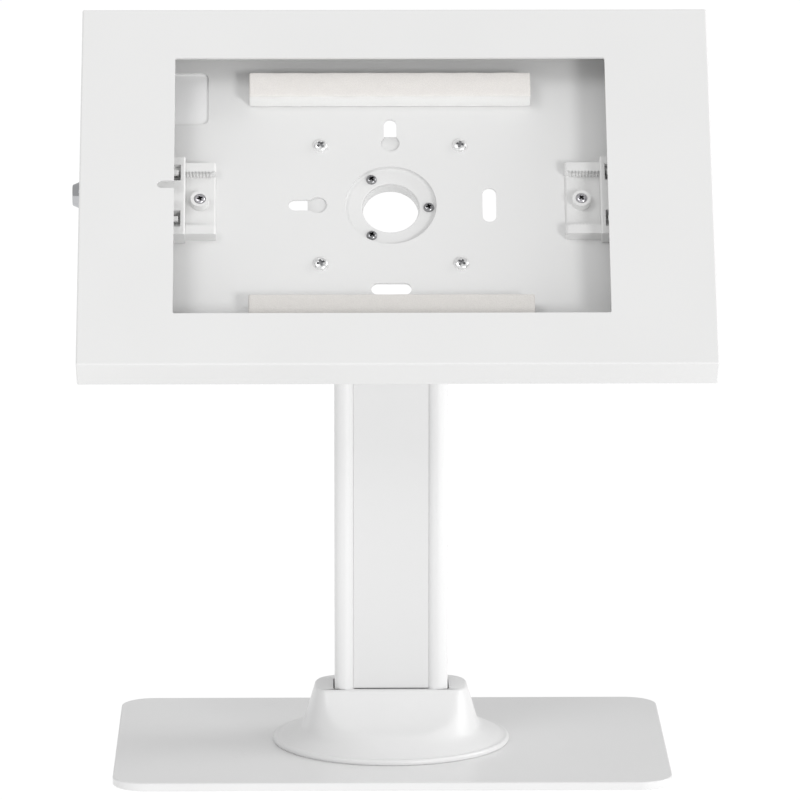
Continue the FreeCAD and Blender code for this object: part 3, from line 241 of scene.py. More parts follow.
def closed_foam(name, shade, cut_and_lit_shade):
    """Closed-cell foam: small pores cut open at the skin, with a mottled tone and cut sides lighter, partly
    fresher and partly painted light.
    """
    coat = Coat(name)
    pores = coat.cells(size=0.55).clipped(low=0.1, high=0.75)
    mottle = coat.noise(size=5.0, detail=3.0)
    dents = coat.noise(size=2.2, detail=2.0)
    skin = coat.tinted(pores * 0.6 + mottle * 0.4, shade, darker=0.93, lighter=1.03)
    # The cut sides' lighter shade is partly the fresh cut's own tone and partly painted light
    inside = coat.tinted(pores, cut_and_lit_shade, darker=0.97, lighter=1.0)
    return coat.finish(Base_Color=coat.mix(coat.mesh_value(CUT_AND_LIT_SHARE), skin, inside), Roughness=0.93,
                       Normal=coat.bump(dents, depth=0.05, below=coat.bump(pores, depth=0.06)),
                       Sheen_Weight=0.15, Specular_IOR_Level=0.2)


def brushed_metal(name, shade, roughness):
    """Plated steel: fine upright lines and a cloudy bloom."""
    coat = Coat(name)
    lines = coat.noise(size=0.25, detail=2.0, stretch=(1.0, 1.0, 6.0))
    bloom = coat.noise(size=7.0, detail=2.0)
    return coat.finish(Base_Color=coat.tinted(bloom, shade, darker=0.88, lighter=1.06), Metallic=1.0,
                       Roughness=roughness + lines.swing(0.12), Normal=coat.bump(lines, depth=0.006))


def polished_chrome(name):
    """Bright chrome with faint wiping marks."""
    coat = Coat(name)
    marks = coat.noise(size=3.0, detail=3.0, stretch=(1.0, 4.0, 1.0))
    colour = coat.mix(marks, (0.46, 0.47, 0.49), (0.56, 0.56, 0.57))
    return coat.finish(Base_Color=colour, Metallic=1.0, Roughness=0.05 + marks * 0.06)


def screw_finish(name, shade, recess_metal_and_painted_shade, roughness):
    """A screw's head in one tone and its driver recess in a darker one, painted shade and partly bare metal,
    told apart by the mesh.
    """
    coat = Coat(name)
    wear = coat.noise(size=0.8, detail=2.0)
    head = coat.tinted(wear, shade, darker=0.9, lighter=1.08)
    # The recess's darker shade, mixed in by its depth, is mostly painted shade and partly bare metal
    return coat.finish(Base_Color=coat.mix(coat.mesh_value(RECESS_SHARE), head, recess_metal_and_painted_shade), Metallic=1.0,
                       Roughness=roughness + wear.swing(0.15), Normal=coat.bump(wear, depth=0.008))


def soft_rubber(name):
    """Dark rubber with a dusty, fine matte grain."""
    coat = Coat(name)
    dust = coat.noise(size=4.0, detail=3.0)
    grain = coat.noise(size=0.3, detail=2.0)
    colour = coat.mix(dust, (0.035, 0.035, 0.036), (0.07, 0.07, 0.07))
    return coat.finish(Base_Color=colour, Roughness=0.85 + grain.swing(0.1),
                       Normal=coat.bump(grain, depth=0.02))


# Finishes: material name, shade and roughness; a screw's also has the darker shade of its recess,
# mostly painted shade and partly bare metal, and foam's the lighter shade of its cut sides, partly
# the fresh cut and partly painted light, in place of a roughness
WHITE = (0.775, 0.775, 0.772)
COATS = {
    "white_steel": powder_coat("white_powder_coat", WHITE, 0.42),
    "plate_steel": powder_coat("plate_powder_coat", (0.785, 0.785, 0.785), 0.3),
    # Painted light: the body's white powder coat made lighter on the camera blank, which lies in shade
    "painted_light_blank_steel": powder_coat("painted_light_blank_coat", (0.92, 0.92, 0.92), 0.42),
    "white_column": powder_coat("column_coat", (0.80, 0.80, 0.80), 0.3),
    "strip_plastic": moulded_plastic("strip_plastic", (0.745, 0.745, 0.745), 0.34),
    "white_plastic": moulded_plastic("white_plastic", (0.78, 0.78, 0.78), 0.34),
    "clamp_plastic": moulded_plastic("clamp_plastic", (0.78, 0.78, 0.775), 0.42),
    "nylon": moulded_plastic("natural_nylon", (0.80, 0.78, 0.72), 0.5, grain_size=0.6),
    "top_foam": closed_foam("top_foam", (0.81, 0.785, 0.76), (0.93, 0.93, 0.92)),
    # Painted shade: the same foam as the top bar's, darker all over
    "painted_shade_bottom_foam": closed_foam("painted_shade_bottom_foam", (0.71, 0.69, 0.665), (0.86, 0.86, 0.85)),
    "rubber": soft_rubber("dark_rubber"),
    "zinc_steel": brushed_metal("zinc_plate", (0.62, 0.63, 0.65), 0.34),
    "bright_screws": screw_finish("bright_screw_heads", (0.95, 0.95, 0.95), (0.36, 0.36, 0.37), 0.3),
    "nickel_screws": screw_finish("nickel_screw_heads", (0.60, 0.59, 0.62), (0.03, 0.03, 0.03), 0.24),
    "steel_screws": screw_finish("steel_screw_heads", (0.34, 0.34, 0.35), (0.01, 0.01, 0.012), 0.24),
    "dark_screws": screw_finish("dark_screw_heads", (0.22, 0.22, 0.24), (0.01, 0.01, 0.012), 0.26),
    "chrome": polished_chrome("bright_chrome"),
}


# Mesh making


# Points closer than this, in metres, are one: in a carried-over solid, and along a new piece's seams
WELD = 2e-6
SEAM = 1e-7

# Easing: faces within this angle are one, edges past this angle are eased in so many steps, and
# flat faces weigh this much in the shading of their corners; angles in degrees
FLAT_ANGLE = 0.6
CORNER_ANGLE = 35.0
CORNER_STEPS = 2
FLAT_FACE_WEIGHT = 90


def piece(name, points, faces, coat, body, smooth):
    """A new piece from world points in millimetres and faces, finished and riding on a body."""
    mesh = bpy.data.meshes.new(name)
    mesh.from_pydata((np.asarray(points) * MM).tolist(), [], faces)
    return dressed(name, mesh, coat, body, smooth)


def dressed(name, mesh, coat, body, smooth):
    """Turn a mesh into a piece: shading that is smooth up to an angle, a material in its slot, and a body."""
    mesh.validate()
    mesh.shade_smooth()
    mesh.set_sharp_from_angle(angle=math.radians(smooth))
    obj = bpy.data.objects.new(name, mesh)
    bpy.context.scene.collection.objects.link(obj)
    mesh.materials.clear()
    mesh.materials.append(COATS[coat])
    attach(obj, body)
    return obj


def grid_faces(rows, columns, wrap_rows=False, wrap_columns=False, start=0):
    """Quads of a grid of points stored row by row, closed round either way if asked."""
    i = np.arange(rows if wrap_rows else rows - 1)
    j = np.arange(columns if wrap_columns else columns - 1)
    i, j = np.meshgrid(i, j, indexing="ij")
    down = (i + 1) % rows
    right = (j + 1) % columns
    quads = np.stack([i * columns + j, i * columns + right, down * columns + right, down * columns + j], -1)
    return (quads.reshape(-1, 4) + start).tolist()


def outward(obj):
    """Make the faces of a closed piece point outwards."""
    work = bmesh.new()
    work.from_mesh(obj.data)
    bmesh.ops.remove_doubles(work, verts=work.verts, dist=SEAM)
    bmesh.ops.recalc_face_normals(work, faces=work.faces)
    work.to_mesh(obj.data)
    work.free()


def eased(node, coat, width):
    """A node's own solid with its corners eased by width millimetres, standing for the node.

    A width of nought leaves the corners as they are. Flat faces keep flat shading up to their
    corners, because each corner's normal leans to the larger face.
    """
    work = bmesh.new()
    work.from_mesh(NODES[node].data)
    bmesh.ops.remove_doubles(work, verts=work.verts, dist=WELD)
    bmesh.ops.dissolve_limit(work, angle_limit=math.radians(FLAT_ANGLE), verts=work.verts, edges=work.edges)
    if node in PIERCED_NODES:
        large = [face for face in work.faces if len(face.verts) > 4]
        bmesh.ops.triangulate(work, faces=large, ngon_method="BEAUTY")
    mesh = bpy.data.meshes.new(node + "_eased")
    work.to_mesh(mesh)
    work.free()
    obj = dressed(node + "_eased", mesh, coat, NODES[node]["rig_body"], CORNER_ANGLE)
    if width > 0:
        bevel = obj.modifiers.new("eased corners", "BEVEL")
        bevel.width = width * MM
        bevel.segments = CORNER_STEPS
        bevel.limit_method = "ANGLE"
        bevel.angle_limit = math.radians(CORNER_ANGLE)
    lean = obj.modifiers.new("flat faces", "WEIGHTED_NORMAL")
    lean.weight = FLAT_FACE_WEIGHT
    lean.keep_sharp = width <= 0
    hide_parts(node)


def write_share(obj, name, values):
    """Write a value from 0 to 1 at each point of a piece, for its material to read."""
    attribute = obj.data.attributes.new(name, "FLOAT", "POINT")
    attribute.data.foreach_set("value", values.astype(np.float32))


def smoothstep(value):
    """0 below 0, 1 above 1, and 3v^2 - 2v^3 between."""
    value = np.clip(value, 0.0, 1.0)
    return value * value * (3 - 2 * value)


# Screws


# Pan heads: radius, height, shank radius and thread pitch in millimetres, and the cross's reach as
# a share of the radius
ADAPTER_PAN = (4.0, 2.4, 2.0, 0.7, 0.58)
HUB_PAN = (2.85, 1.9, 1.5, 0.5, 0.56)
CLAMP_PAN = (2.95, 1.8, 1.5, 0.5, 0.56)
BLANK_PAN = (2.3, 1.6, 1.5, 0.5, 0.56)
FORK_PAN = (4.25, 2.8, 2.2, 0.8, 0.56)

# How far each screw of a set is turned, in radians
FIRST_TURN = 0.35
NEXT_TURN = 1.9

# A screw's mesh: points around, rings over the head as first share, last share and count, rings in
# one turn of thread, and the angle past which its edges are sharp
SCREW_AROUND = 96
HEAD_RINGS = ((0.02, 0.74, 34), (0.77, 1.0, 12))
THREAD_RINGS = 6
SCREW_SHARP = 30.0

# A screw's shape: the dome's power; a recess arm's half width as a share of its reach; the recess
# wall's width as a share of the radius and its depth as one of the height; the thread's depth and
# the point's cut as shares of the pitch
DOME_POWER = 2.6
ARM_HALF = 0.27
ARM_WALL = 0.07
RECESS_DEPTH = 0.62
THREAD_DEPTH = 0.55
POINT_CUT = 0.35


def driver_recess(x, y, arm, half_width, taper):
    """How deep a cross recess is, 0 to 1: the deeper of two bars with sloping walls.

    A bar falls to nought over the taper at its sides, and over three tapers at its ends.
    """
    along_x = np.minimum((half_width - abs(y)) / taper + 0.5, (arm - abs(x)) / (3 * taper))
    along_y = np.minimum((half_width - abs(x)) / taper + 0.5, (arm - abs(y)) / (3 * taper))
    return smoothstep(np.maximum(along_x, along_y))


def pan_head(radius, height, shank, pitch, cross, length, turn):
    """Points, faces and recess share of a screw standing on z = 0 with its shank below.

    The head is a dome of revolution, z = height * (1 - (r / radius)^p)^(1/p), less a cross recess
    whose arms reach the share cross of the radius. The shank's radius dips by a saw of its pitch
    that climbs one pitch in each turn and runs out at the point.
    """
    around = SCREW_AROUND
    theta = np.linspace(0, 2 * np.pi, around, endpoint=False)
    share = np.concatenate([np.linspace(*rings) for rings in HEAD_RINGS])[:, None]
    x = radius * share * np.cos(theta)
    y = radius * share * np.sin(theta)
    dome = height * np.clip(1 - share ** DOME_POWER, 0, 1) ** (1 / DOME_POWER) * np.ones_like(x)
    c, s = math.cos(turn), math.sin(turn)
    reach = cross * radius
    depth = driver_recess(x * c + y * s, y * c - x * s, reach, ARM_HALF * reach, ARM_WALL * radius)
    top = np.stack([x, y, dome - RECESS_DEPTH * height * depth], -1)
    levels = np.linspace(0, -length, max(4, int(length / pitch * THREAD_RINGS)))[:, None]
    phase = (levels / pitch + theta / (2 * np.pi)) % 1.0
    thread = THREAD_DEPTH * pitch * abs(2 * phase - 1)
    runout = smoothstep((levels + length) / pitch)
    rod_r = shank - thread * runout - POINT_CUT * pitch * (1 - runout)
    rod = np.stack([rod_r * np.cos(theta), rod_r * np.sin(theta), levels * np.ones_like(theta)], -1)
    rings = np.concatenate([top, rod])
    points = np.concatenate([rings.reshape(-1, 3), [[0, 0, top[0, 0, 2]], [0, 0, -length]]])
    faces = grid_faces(len(rings), around, wrap_columns=True)
    first, last = len(points) - 2, len(points) - 1
    base = (len(rings) - 1) * around
    faces += [[first, (j + 1) % around, j] for j in range(around)]
    faces += [[last, base + j, base + (j + 1) % around] for j in range(around)]
    recess = np.concatenate([depth.reshape(-1), np.zeros(rod.size // 3), [1.0, 0.0]])
    return points, faces, recess


def screw_set(name, node, coat, places, pan, length, frame_of):
    """All the screws of one node as one piece, each turned a little differently.

    Each stands on its place with its shank of the given length below, in the frame's way.
    """
    points, faces, recess = [], [], []
    for index, place in enumerate(places):
        shape, quads, depth = pan_head(*pan, length, FIRST_TURN + index * NEXT_TURN)
        start = sum(len(block) for block in points)
        points.append(frame_of(shape, place))
        faces += [[i + start for i in face] for face in quads]
        recess.append(depth)
    obj = piece(name, np.concatenate(points), faces, coat, NODES[node]["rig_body"], SCREW_SHARP)
    write_share(obj, RECESS_SHARE, np.concatenate(recess))
    outward(obj)
    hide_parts(node)


def facing_out(points, place):
    """Stand a screw on a place of the face, its head towards the user."""
    return to_world(points + np.array(place))


def facing_back(points, place):
    """Stand a screw on a place of the face, its head away from the user."""
    return to_world(points * np.array([1, -1, -1]) + np.array(place))


def facing_up(points, place):
    """Stand a screw upright in the world frame."""
    return points + np.array(place)


def square_places(node, pan, z, head=True):
    """The four corners of a screw square, from the node's box less the head's radius."""
    low, high = extent(node, head)
    columns, rows = ((low[axis] + pan[0], high[axis] - pan[0]) for axis in (0, 1))
    return [(x, y, z) for x in columns for y in rows]


def build_screws():
    """Every pan head screw of the holder."""
    low, high = extent("adapter_screws")
    places = square_places("adapter_screws", ADAPTER_PAN, high[2] - ADAPTER_PAN[1])
    screw_set("adapter_pan_screws", "adapter_screws", "bright_screws", places, ADAPTER_PAN,
              places[0][2] - low[2], facing_out)
    low, high = extent("hub_screws")
    seat = high[2] - HUB_PAN[1]
    ring = high[0] - HUB_PAN[0]
    thirds = [i * 2 * math.pi / 3 for i in range(3)]
    places = [(ring * math.cos(angle), ring * math.sin(angle), seat) for angle in thirds]
    screw_set("hub_pan_screws", "hub_screws", "steel_screws", places, HUB_PAN, seat - low[2], facing_out)
    low, high = extent("clamp_screws")
    seat = high[2] - CLAMP_PAN[1]
    places = [(side * (high[0] - CLAMP_PAN[0]), 0.0, seat) for side in (-1, 1)]
    screw_set("clamp_pan_screws", "clamp_screws", "nickel_screws", places, CLAMP_PAN,
              seat - low[2], facing_out)
    low, high = extent("camera_blank_screws")
    seat = low[2] + BLANK_PAN[1]
    x = (low[0] + high[0]) / 2
    places = [(x, y, seat) for y in (low[1] + BLANK_PAN[0], high[1] - BLANK_PAN[0])]
    screw_set("blank_pan_screws", "camera_blank_screws", "nickel_screws", places, BLANK_PAN,
              high[2] - seat, facing_back)
    low, high = extent("fork_screws", head=False)
    seat = high[2] - FORK_PAN[1]
    places = square_places("fork_screws", FORK_PAN, seat, head=False)
    screw_set("fork_pan_screws", "fork_screws", "dark_screws", places, FORK_PAN, seat - low[2], facing_up)


# Base cover


# The collar's half width, half depth and squareness; the bell's foot and rise; the reach and power
# of its flanks at the sides and in front; the skirt's slope and the width of its blend; the
# squareness of a round outline, and the power with which it goes over to the collar's
COLLAR_SHAPE = (41.0, 25.0, 3.4)
SKIRT_FOOT_R = 61.9
BELL_RISE = 28.5
BELL_SIDE = (0.4, 1.0)
BELL_FRONT = (0.9, 1.6)
SKIRT_SLOPE = 2.6
BELL_BLEND = 1.5
ROUND = 2.0
SQUARING_POWER = 0.7

# The scooped face: its top and foot as y and z, its sag, the width of its edge's blend, and the y
# behind which the bell keeps its own outline
RAMP_TOP = (-18.3, 37.0)
RAMP_FOOT = (-38.0, 19.3)
RAMP_SAG = 2.75
RAMP_EDGE = 0.6
RAMP_BEHIND = -3.0

# The rim round the skirt: height, bevel under it, round of its top, how far the bell's first ring
# and the bell's foot lie below its top, and the wall under the skirt
RIM_H = 3.0
RIM_BEVEL = 0.6
RIM_ROUND = 1.35
SKIRT_DIP = 0.07
FOOT_DROP = 0.5
SKIRT_WALL = 4.0

# The collar's wall, lid and round, the dip of the lid's inner edge, and the gaps of its hole to the
# column, to the strip's face and to the strip's ends
WALL = 2.4
COLLAR_LID = 3.0
COLLAR_ROUND = 1.2
LID_DIP = 0.25
COLUMN_GAP = 0.7
COLUMN_CORNER_R = 5.5
STRIP_FACE_GAP = 0.25
STRIP_END_INSET = 0.4

# The cover's mesh: points around and how far they crowd towards the sides; rings up the bell and
# inside it, and round the rim's and the collar's edges, as first, last and count, in shares and in
# degrees; shares across the lid; and the angle past which its edges are sharp
COVER_AROUND = 540
COVER_CROWDING = 0.12
BELL_RINGS = ((0.0, 0.0, 1), (0.022, 0.3, 14), (0.33, 0.955, 26))
INSIDE_RINGS = (1.0, 0.1, 14)
RIM_ANGLES = (0, 90, 8)
COLLAR_ANGLES = (10, 90, 7)
LID_SHARES = (0.5, 0.93, 1.0)
COVER_SHARP = 55.0


def bell_outline(share):
    """Half width, half depth and squareness of the bell at a share of its rise.

    With d = 1 - share and f the skirt's foot, each half is a smooth maximum of the steep flank,
    collar + (f - collar) * reach * d^power, and of the flat skirt, f - slope * rise * share.
    """
    half_x, half_y, squareness = COLLAR_SHAPE
    skirt = SKIRT_FOOT_R - SKIRT_SLOPE * BELL_RISE * share

    def half(collar, reach, power):
        flank = collar + (SKIRT_FOOT_R - collar) * reach * (1 - share) ** power
        return -soft_least(np.float64(-flank), np.float64(-skirt), BELL_BLEND)

    wide, deep = half(half_x, *BELL_SIDE), half(half_y, *BELL_FRONT)
    return wide, deep, ROUND + (squareness - ROUND) * share ** SQUARING_POWER


def ramp_front(z, inset):
    """How far in front of the axis the scooped face lies at a height.

    The face is a hollow arc through its top and its foot with a given sag, and its tangent
    below the foot. The inset moves it into the wall.
    """
    top, foot = np.array(RAMP_TOP), np.array(RAMP_FOOT)
    chord = top - foot
    half = np.linalg.norm(chord) / 2
    radius = (half * half + RAMP_SAG ** 2) / (2 * RAMP_SAG)
    slope = math.atan2(chord[1], chord[0])
    centre = (top + foot) / 2 + (radius - RAMP_SAG) * np.array([-math.sin(slope), math.cos(slope)])
    reach = radius + inset
    tail = slope - math.asin(half / radius)
    end = centre + reach * np.array([math.sin(tail), -math.cos(tail)])
    inside = np.clip(reach ** 2 - (z - centre[1]) ** 2, 0, None)
    arc = centre[0] + np.sqrt(inside)
    line = end[0] - (end[1] - z) / math.tan(tail)
    return -np.where(z > end[1], arc, line)


def soft_least(a, b, width):
    """The lesser of two values, rounded off: least - width * ln(e^(-a/width) + e^(-b/width))."""
    least = np.minimum(a, b)
    return least - width * np.log(np.exp(-(a - least) / width) + np.exp(-(b - least) / width))


def bell_ring(share, inset, z, theta):
    """One outline of the bell: a superellipse whose front is held back to the scooped face.

    Each half size, less the inset, is multiplied by r cos and r sin, where r is
    (|cos|^n + |sin|^n)^(-1/n), and y is then the softened greater of itself and the face's.
    """
    wide, deep, n = bell_outline(share)
    c, s = np.cos(theta), np.sin(theta)
    r = (abs(c) ** n + abs(s) ** n) ** (-1 / n)
    x = (wide - inset) * r * c
    y = (deep - inset) * r * s
    held = -soft_least(-y, ramp_front(z, inset) + 0 * y, RAMP_EDGE)
    return np.stack([x, np.where(y < RAMP_BEHIND, held, y), np.full_like(x, z)], -1)


def column_ring(gap, z, theta):
    """The hole in the collar's lid: the column's rounded outline plus a gap, with the lip before the strip.

    Along each ray it is the nearest of the flat sides and the corner arcs; in front of the strip
    the hole is drawn back to the strip's face.
    """
    low, high = extent("column", head=False)
    strip_low, strip_high = extent("cable_cover", head=False)
    half_x, half_y = high[0] + gap, high[1] + gap
    corner = COLUMN_CORNER_R + gap
    c, s = np.cos(theta), np.sin(theta)
    flat = np.minimum(half_x / np.maximum(abs(c), TINY), half_y / np.maximum(abs(s), TINY))
    cx, cy = half_x - corner, half_y - corner
    along = abs(c) * cx + abs(s) * cy
    arc = along + np.sqrt(np.clip(along ** 2 - cx ** 2 - cy ** 2 + corner ** 2, 0, None))
    x, y = flat * abs(c), flat * abs(s)
    r = np.where((x > cx) & (y > cy), arc, flat)
    lip = (strip_low[1] - STRIP_FACE_GAP) / np.where(s < -TINY, s, -TINY)
    r = np.where((s < 0) & (abs(c) * lip < strip_high[0] - STRIP_END_INSET) & (lip < r), lip, r)
    return np.stack([r * c, r * s, np.full_like(r, z)], -1)


def build_base_cover():
    """Moulded bell over a round skirt, one closed wall.

    The wall is a loop of outlines: up the rim, in over the skirt, up the bell, over the collar's
    edge, in over its lid to the column, down through the lid, down inside the bell, and out
    under the skirt.
    """
    low, high = extent("base_cover", head=False)
    disc_r = high[0]
    rim_top = low[2] + RIM_H
    foot = rim_top - FOOT_DROP
    rise = high[2] - foot
    even = np.linspace(0, 2 * np.pi, COVER_AROUND, endpoint=False)
    theta = even - COVER_CROWDING * np.sin(2 * even)
    c, s = np.cos(theta), np.sin(theta)
    rings = []

    def circle(radius, z):
        rings.append(np.stack([radius * c, radius * s, np.full_like(theta, z)], -1))

    circle(disc_r - RIM_BEVEL, low[2])
    circle(disc_r, low[2] + RIM_BEVEL)
    for angle in np.radians(np.linspace(*RIM_ANGLES)):
        circle(disc_r - RIM_ROUND * (1 - math.cos(angle)), rim_top - RIM_ROUND * (1 - math.sin(angle)))
    for share in np.concatenate([np.linspace(*span) for span in BELL_RINGS]):
        rings.append(bell_ring(share, 0.0, foot + rise * share, theta))
        if share == 0.0:
            rings[-1][:, 2] = rim_top - SKIRT_DIP
    for angle in np.radians(np.linspace(*COLLAR_ANGLES)):
        z = high[2] - COLLAR_ROUND * (1 - math.sin(angle))
        rings.append(bell_ring((z - foot) / rise, COLLAR_ROUND * (1 - math.cos(angle)), z, theta))
    outer = bell_ring(1.0, COLLAR_ROUND, high[2], theta)
    inner = column_ring(COLUMN_GAP, high[2], theta)
    rings += [outer + (inner - outer) * share for share in LID_SHARES]
    rings[-1][:, 2] -= LID_DIP
    rings.append(column_ring(COLUMN_GAP, high[2] - COLLAR_LID, theta))
    for share in np.linspace(*INSIDE_RINGS):
        rings.append(bell_ring(share, WALL, foot + (rise - COLLAR_LID) * share, theta))
    circle(disc_r - SKIRT_WALL, low[2])
    faces = grid_faces(len(rings), COVER_AROUND, wrap_rows=True, wrap_columns=True)
    obj = piece("base_cover_bell", np.concatenate(rings), faces, "white_plastic", "stand",
                COVER_SHARP)
    outward(obj)
    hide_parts("base_cover")


# Foam bars


# A bar's edge radius and the points round it, the spacing of the other points, the room left for
# its swell, the height of its flat seat, the swell's reach outwards and sideways, how far below the
# skin the cut side starts and over what width, the cut side being painted lighter partly as painted
# light, and the angle past which its edges are sharp. The swell's waves are in radians per
# millimetre: along the bar, across it, how far the one across leans along the bar, and the sideways
# one along it
FOAM_EDGE = 0.9
FOAM_EDGE_POINTS = 5
FOAM_STEP = 1.6
FOAM_ROOM = 0.1
FOAM_SEAT = 1.0
SWELL_OUT = 0.09
SWELL_SIDE = 0.07
WAVE_ALONG = 0.21
WAVE_ACROSS = 0.43
WAVE_LEAN = 0.07
WAVE_SIDE = 0.33
CUT_AND_LIT_START = 0.6
CUT_AND_LIT_WIDTH = 0.5
FOAM_SHARP = 80.0


def block_points(low, high, edge, step):
    """Points and faces of a block with edges rounded to a radius.

    A point of the plain box goes to q + edge * (p - q) / |p - q|, where q is p held inside the
    box drawn in by the radius.
    """
    low, high = np.asarray(low, float), np.asarray(high, float)
    points, faces = [], []
    for axis in range(3):
        u, v = (axis + 1) % 3, (axis + 2) % 3
        lines = []
        for k in (u, v):
            span = high[k] - low[k]
            inner = np.linspace(edge, span - edge, max(2, int((span - 2 * edge) / step)))
            rim = edge * (1 - np.cos(np.linspace(0, np.pi / 2, FOAM_EDGE_POINTS)[:-1]))
            lines.append(np.concatenate([rim, inner, span - rim[::-1]]) + low[k])
        a, b = np.meshgrid(*lines, indexing="ij")
        for side in (low[axis], high[axis]):
            p = np.zeros((*a.shape, 3))
            p[..., u], p[..., v], p[..., axis] = a, b, side
            start = sum(len(block) for block in points)
            faces += grid_faces(*a.shape, start=start)
            points.append(p.reshape(-1, 3))
    p = np.concatenate(points)
    q = np.clip(p, low + edge, high - edge)
    away = p - q
    return q + edge * away / np.maximum(np.linalg.norm(away, axis=1, keepdims=True), TINY), faces


def build_foam_bar(node, coat):
    """A foam bar: a soft-edged block whose skin swells and dips by a tenth of a millimetre.

    Above its seat, z goes up by the outward swell times sin(along x) cos(across y + lean x), and
    everywhere y goes up by the sideways swell times cos(side x + z).
    """
    low, high = extent(node)
    points, faces = block_points(low + FOAM_ROOM, high - FOAM_ROOM, FOAM_EDGE, FOAM_STEP)
    x, y, z = points.T
    wave = np.sin(x * WAVE_ALONG) * np.cos(y * WAVE_ACROSS + x * WAVE_LEAN)
    z += SWELL_OUT * wave * (z > low[2] + FOAM_SEAT)
    y += SWELL_SIDE * np.cos(x * WAVE_SIDE + z)
    # Points off the front skin count as cut sides, which the material paints lighter, partly as painted light
    cut = np.clip((high[2] - CUT_AND_LIT_START - z) / CUT_AND_LIT_WIDTH, 0, 1)
    obj = piece(node + "_pad", to_world(points), faces, coat, "enclosure", FOAM_SHARP)
    write_share(obj, CUT_AND_LIT_SHARE, cut)
    outward(obj)
    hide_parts(node)


# Adapter plate


# The dish's bore and inner radius, and the sheet's thickness
DISH_BORE_R = 15.3
DISH_R = 24.6
PLATE_T = 1.5

# Bends: at the bore, in the dish's corner, over its lip and behind its corner, and at cut edges
BORE_BEND = 0.7
CORNER_BEND = 1.5
LIP_BEND = 0.45
BACK_BEND = 1.3
CUT_BEND = 0.4

# The plate's mesh: points around, the power of its square's corners, the rings between the dish and
# the plate's edge as radius and squareness, and the angle past which its edges are sharp
PLATE_AROUND = 192
CORNER_POWER = 14
BETWEEN_RINGS = ((30.0, 0.1), (36.0, 0.55))
PLATE_SHARP = 50.0


def build_adapter_plate():
    """Square plate pressed into a round dish; one closed wall of constant thickness.

    Rings run from the bore outwards over the front and back again. Their radius is constant in the
    dish and goes over to a rounded square, (|x|^p + |y|^p)^(1/p) = half, at the plate's edge.
    """
    low, high = extent("adapter_plate")
    half = high[0]
    front = high[2]
    back = front - PLATE_T
    floor = low[2] + PLATE_T
    theta = np.linspace(0, 2 * np.pi, PLATE_AROUND, endpoint=False)
    c, s = np.cos(theta), np.sin(theta)
    corner = (abs(c) ** CORNER_POWER + abs(s) ** CORNER_POWER) ** (-1 / CORNER_POWER)

    def ring(radius, z, squareness=0.0):
        r = radius * ((1 - squareness) + squareness * corner)
        return np.stack([r * c, r * s, np.full_like(theta, z)], -1)

    def bend(radius, z, size, first, last, steps):
        """A fillet: steps on a circle of a size about (radius, z), between two angles in degrees."""
        angles = np.radians(np.linspace(first, last, steps))
        return [ring(radius + size * math.cos(a), z + size * math.sin(a)) for a in angles]

    outside = DISH_R + PLATE_T
    rings = bend(DISH_BORE_R + BORE_BEND, floor - BORE_BEND, BORE_BEND, 180, 90, 6)
    rings += bend(DISH_R - CORNER_BEND, floor + CORNER_BEND, CORNER_BEND, -90, -12, 9)
    rings += bend(DISH_R + LIP_BEND, front - LIP_BEND, LIP_BEND, 170, 90, 7)
    rings += [ring(radius, front, squareness) for radius, squareness in BETWEEN_RINGS]
    rings += [ring(half - CUT_BEND, front, 1.0), ring(half, front - CUT_BEND, 1.0)]
    rings += [ring(half, back + CUT_BEND, 1.0), ring(half - CUT_BEND, back, 1.0)]
    rings += [ring(radius, back, squareness) for radius, squareness in reversed(BETWEEN_RINGS)]
    rings += bend(outside + CUT_BEND, back - CUT_BEND, CUT_BEND, 90, 180, 4)
    rings += bend(outside - BACK_BEND, low[2] + BACK_BEND, BACK_BEND, 0, -90, 6)
    rings += bend(DISH_BORE_R + CUT_BEND, low[2] + CUT_BEND, CUT_BEND, 270, 180, 4)
    faces = grid_faces(len(rings), PLATE_AROUND, wrap_rows=True, wrap_columns=True)
    obj = piece("adapter_plate_dished", to_world(np.concatenate(rings)), faces, "white_steel", "enclosure",
                PLATE_SHARP)
    outward(obj)
    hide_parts("adapter_plate")


# Nodes whose pierced faces are split into triangles before their corners are eased
PIERCED_NODES = ("jaw_right", "jaw_left")

# Carried-over pieces: the node, its coat and how far its corners are eased in millimetres
EASED_NODES = (
    ("base_plate", "plate_steel", 0.5), ("column", "white_column", 0.25), ("cable_cover", "strip_plastic", 0),
    ("fork", "white_steel", 0.4), ("tilt_bolt", "zinc_steel", 0.25), ("tilt_nut", "zinc_steel", 0.2),
    ("tilt_bracket", "white_steel", 0.4), ("retaining_ring", "zinc_steel", 0.2),
    ("swivel_hub", "white_steel", 0.25), ("adapter_nuts", "zinc_steel", 0.15),
    ("rear_tray", "white_steel", 0.2), ("camera_blank", "painted_light_blank_steel", 0.25),
    ("clamp_track_right", "clamp_plastic", 0), ("clamp_track_left", "clamp_plastic", 0),
    ("clamp_nuts", "zinc_steel", 0.12), ("jaw_right", "clamp_plastic", 0.25),
    ("jaw_left", "clamp_plastic", 0.25), ("lock_keeper", "zinc_steel", 0.2),
    ("front_cover", "white_steel", 0.6), ("lock_body", "chrome", 0.2), ("lock_nut", "zinc_steel", 0.2),
    ("lock_core", "chrome", 0.15), ("lock_cam", "zinc_steel", 0.2), ("cam_screw", "zinc_steel", 0.15),
    ("hinge_leaf_rear", "zinc_steel", 0.12), ("hinge_leaf_front", "zinc_steel", 0.12),
    ("hinge_pin", "zinc_steel", 0.15), ("feet", "rubber", 0.25), ("steel_washers", "zinc_steel", 0.15),
    ("nylon_washers", "nylon", 0.12), ("swivel_washer", "nylon", 0.08), ("stop_pins", "zinc_steel", 0.15),
    ("column_screws", "zinc_steel", 0.15),
)


# Studio


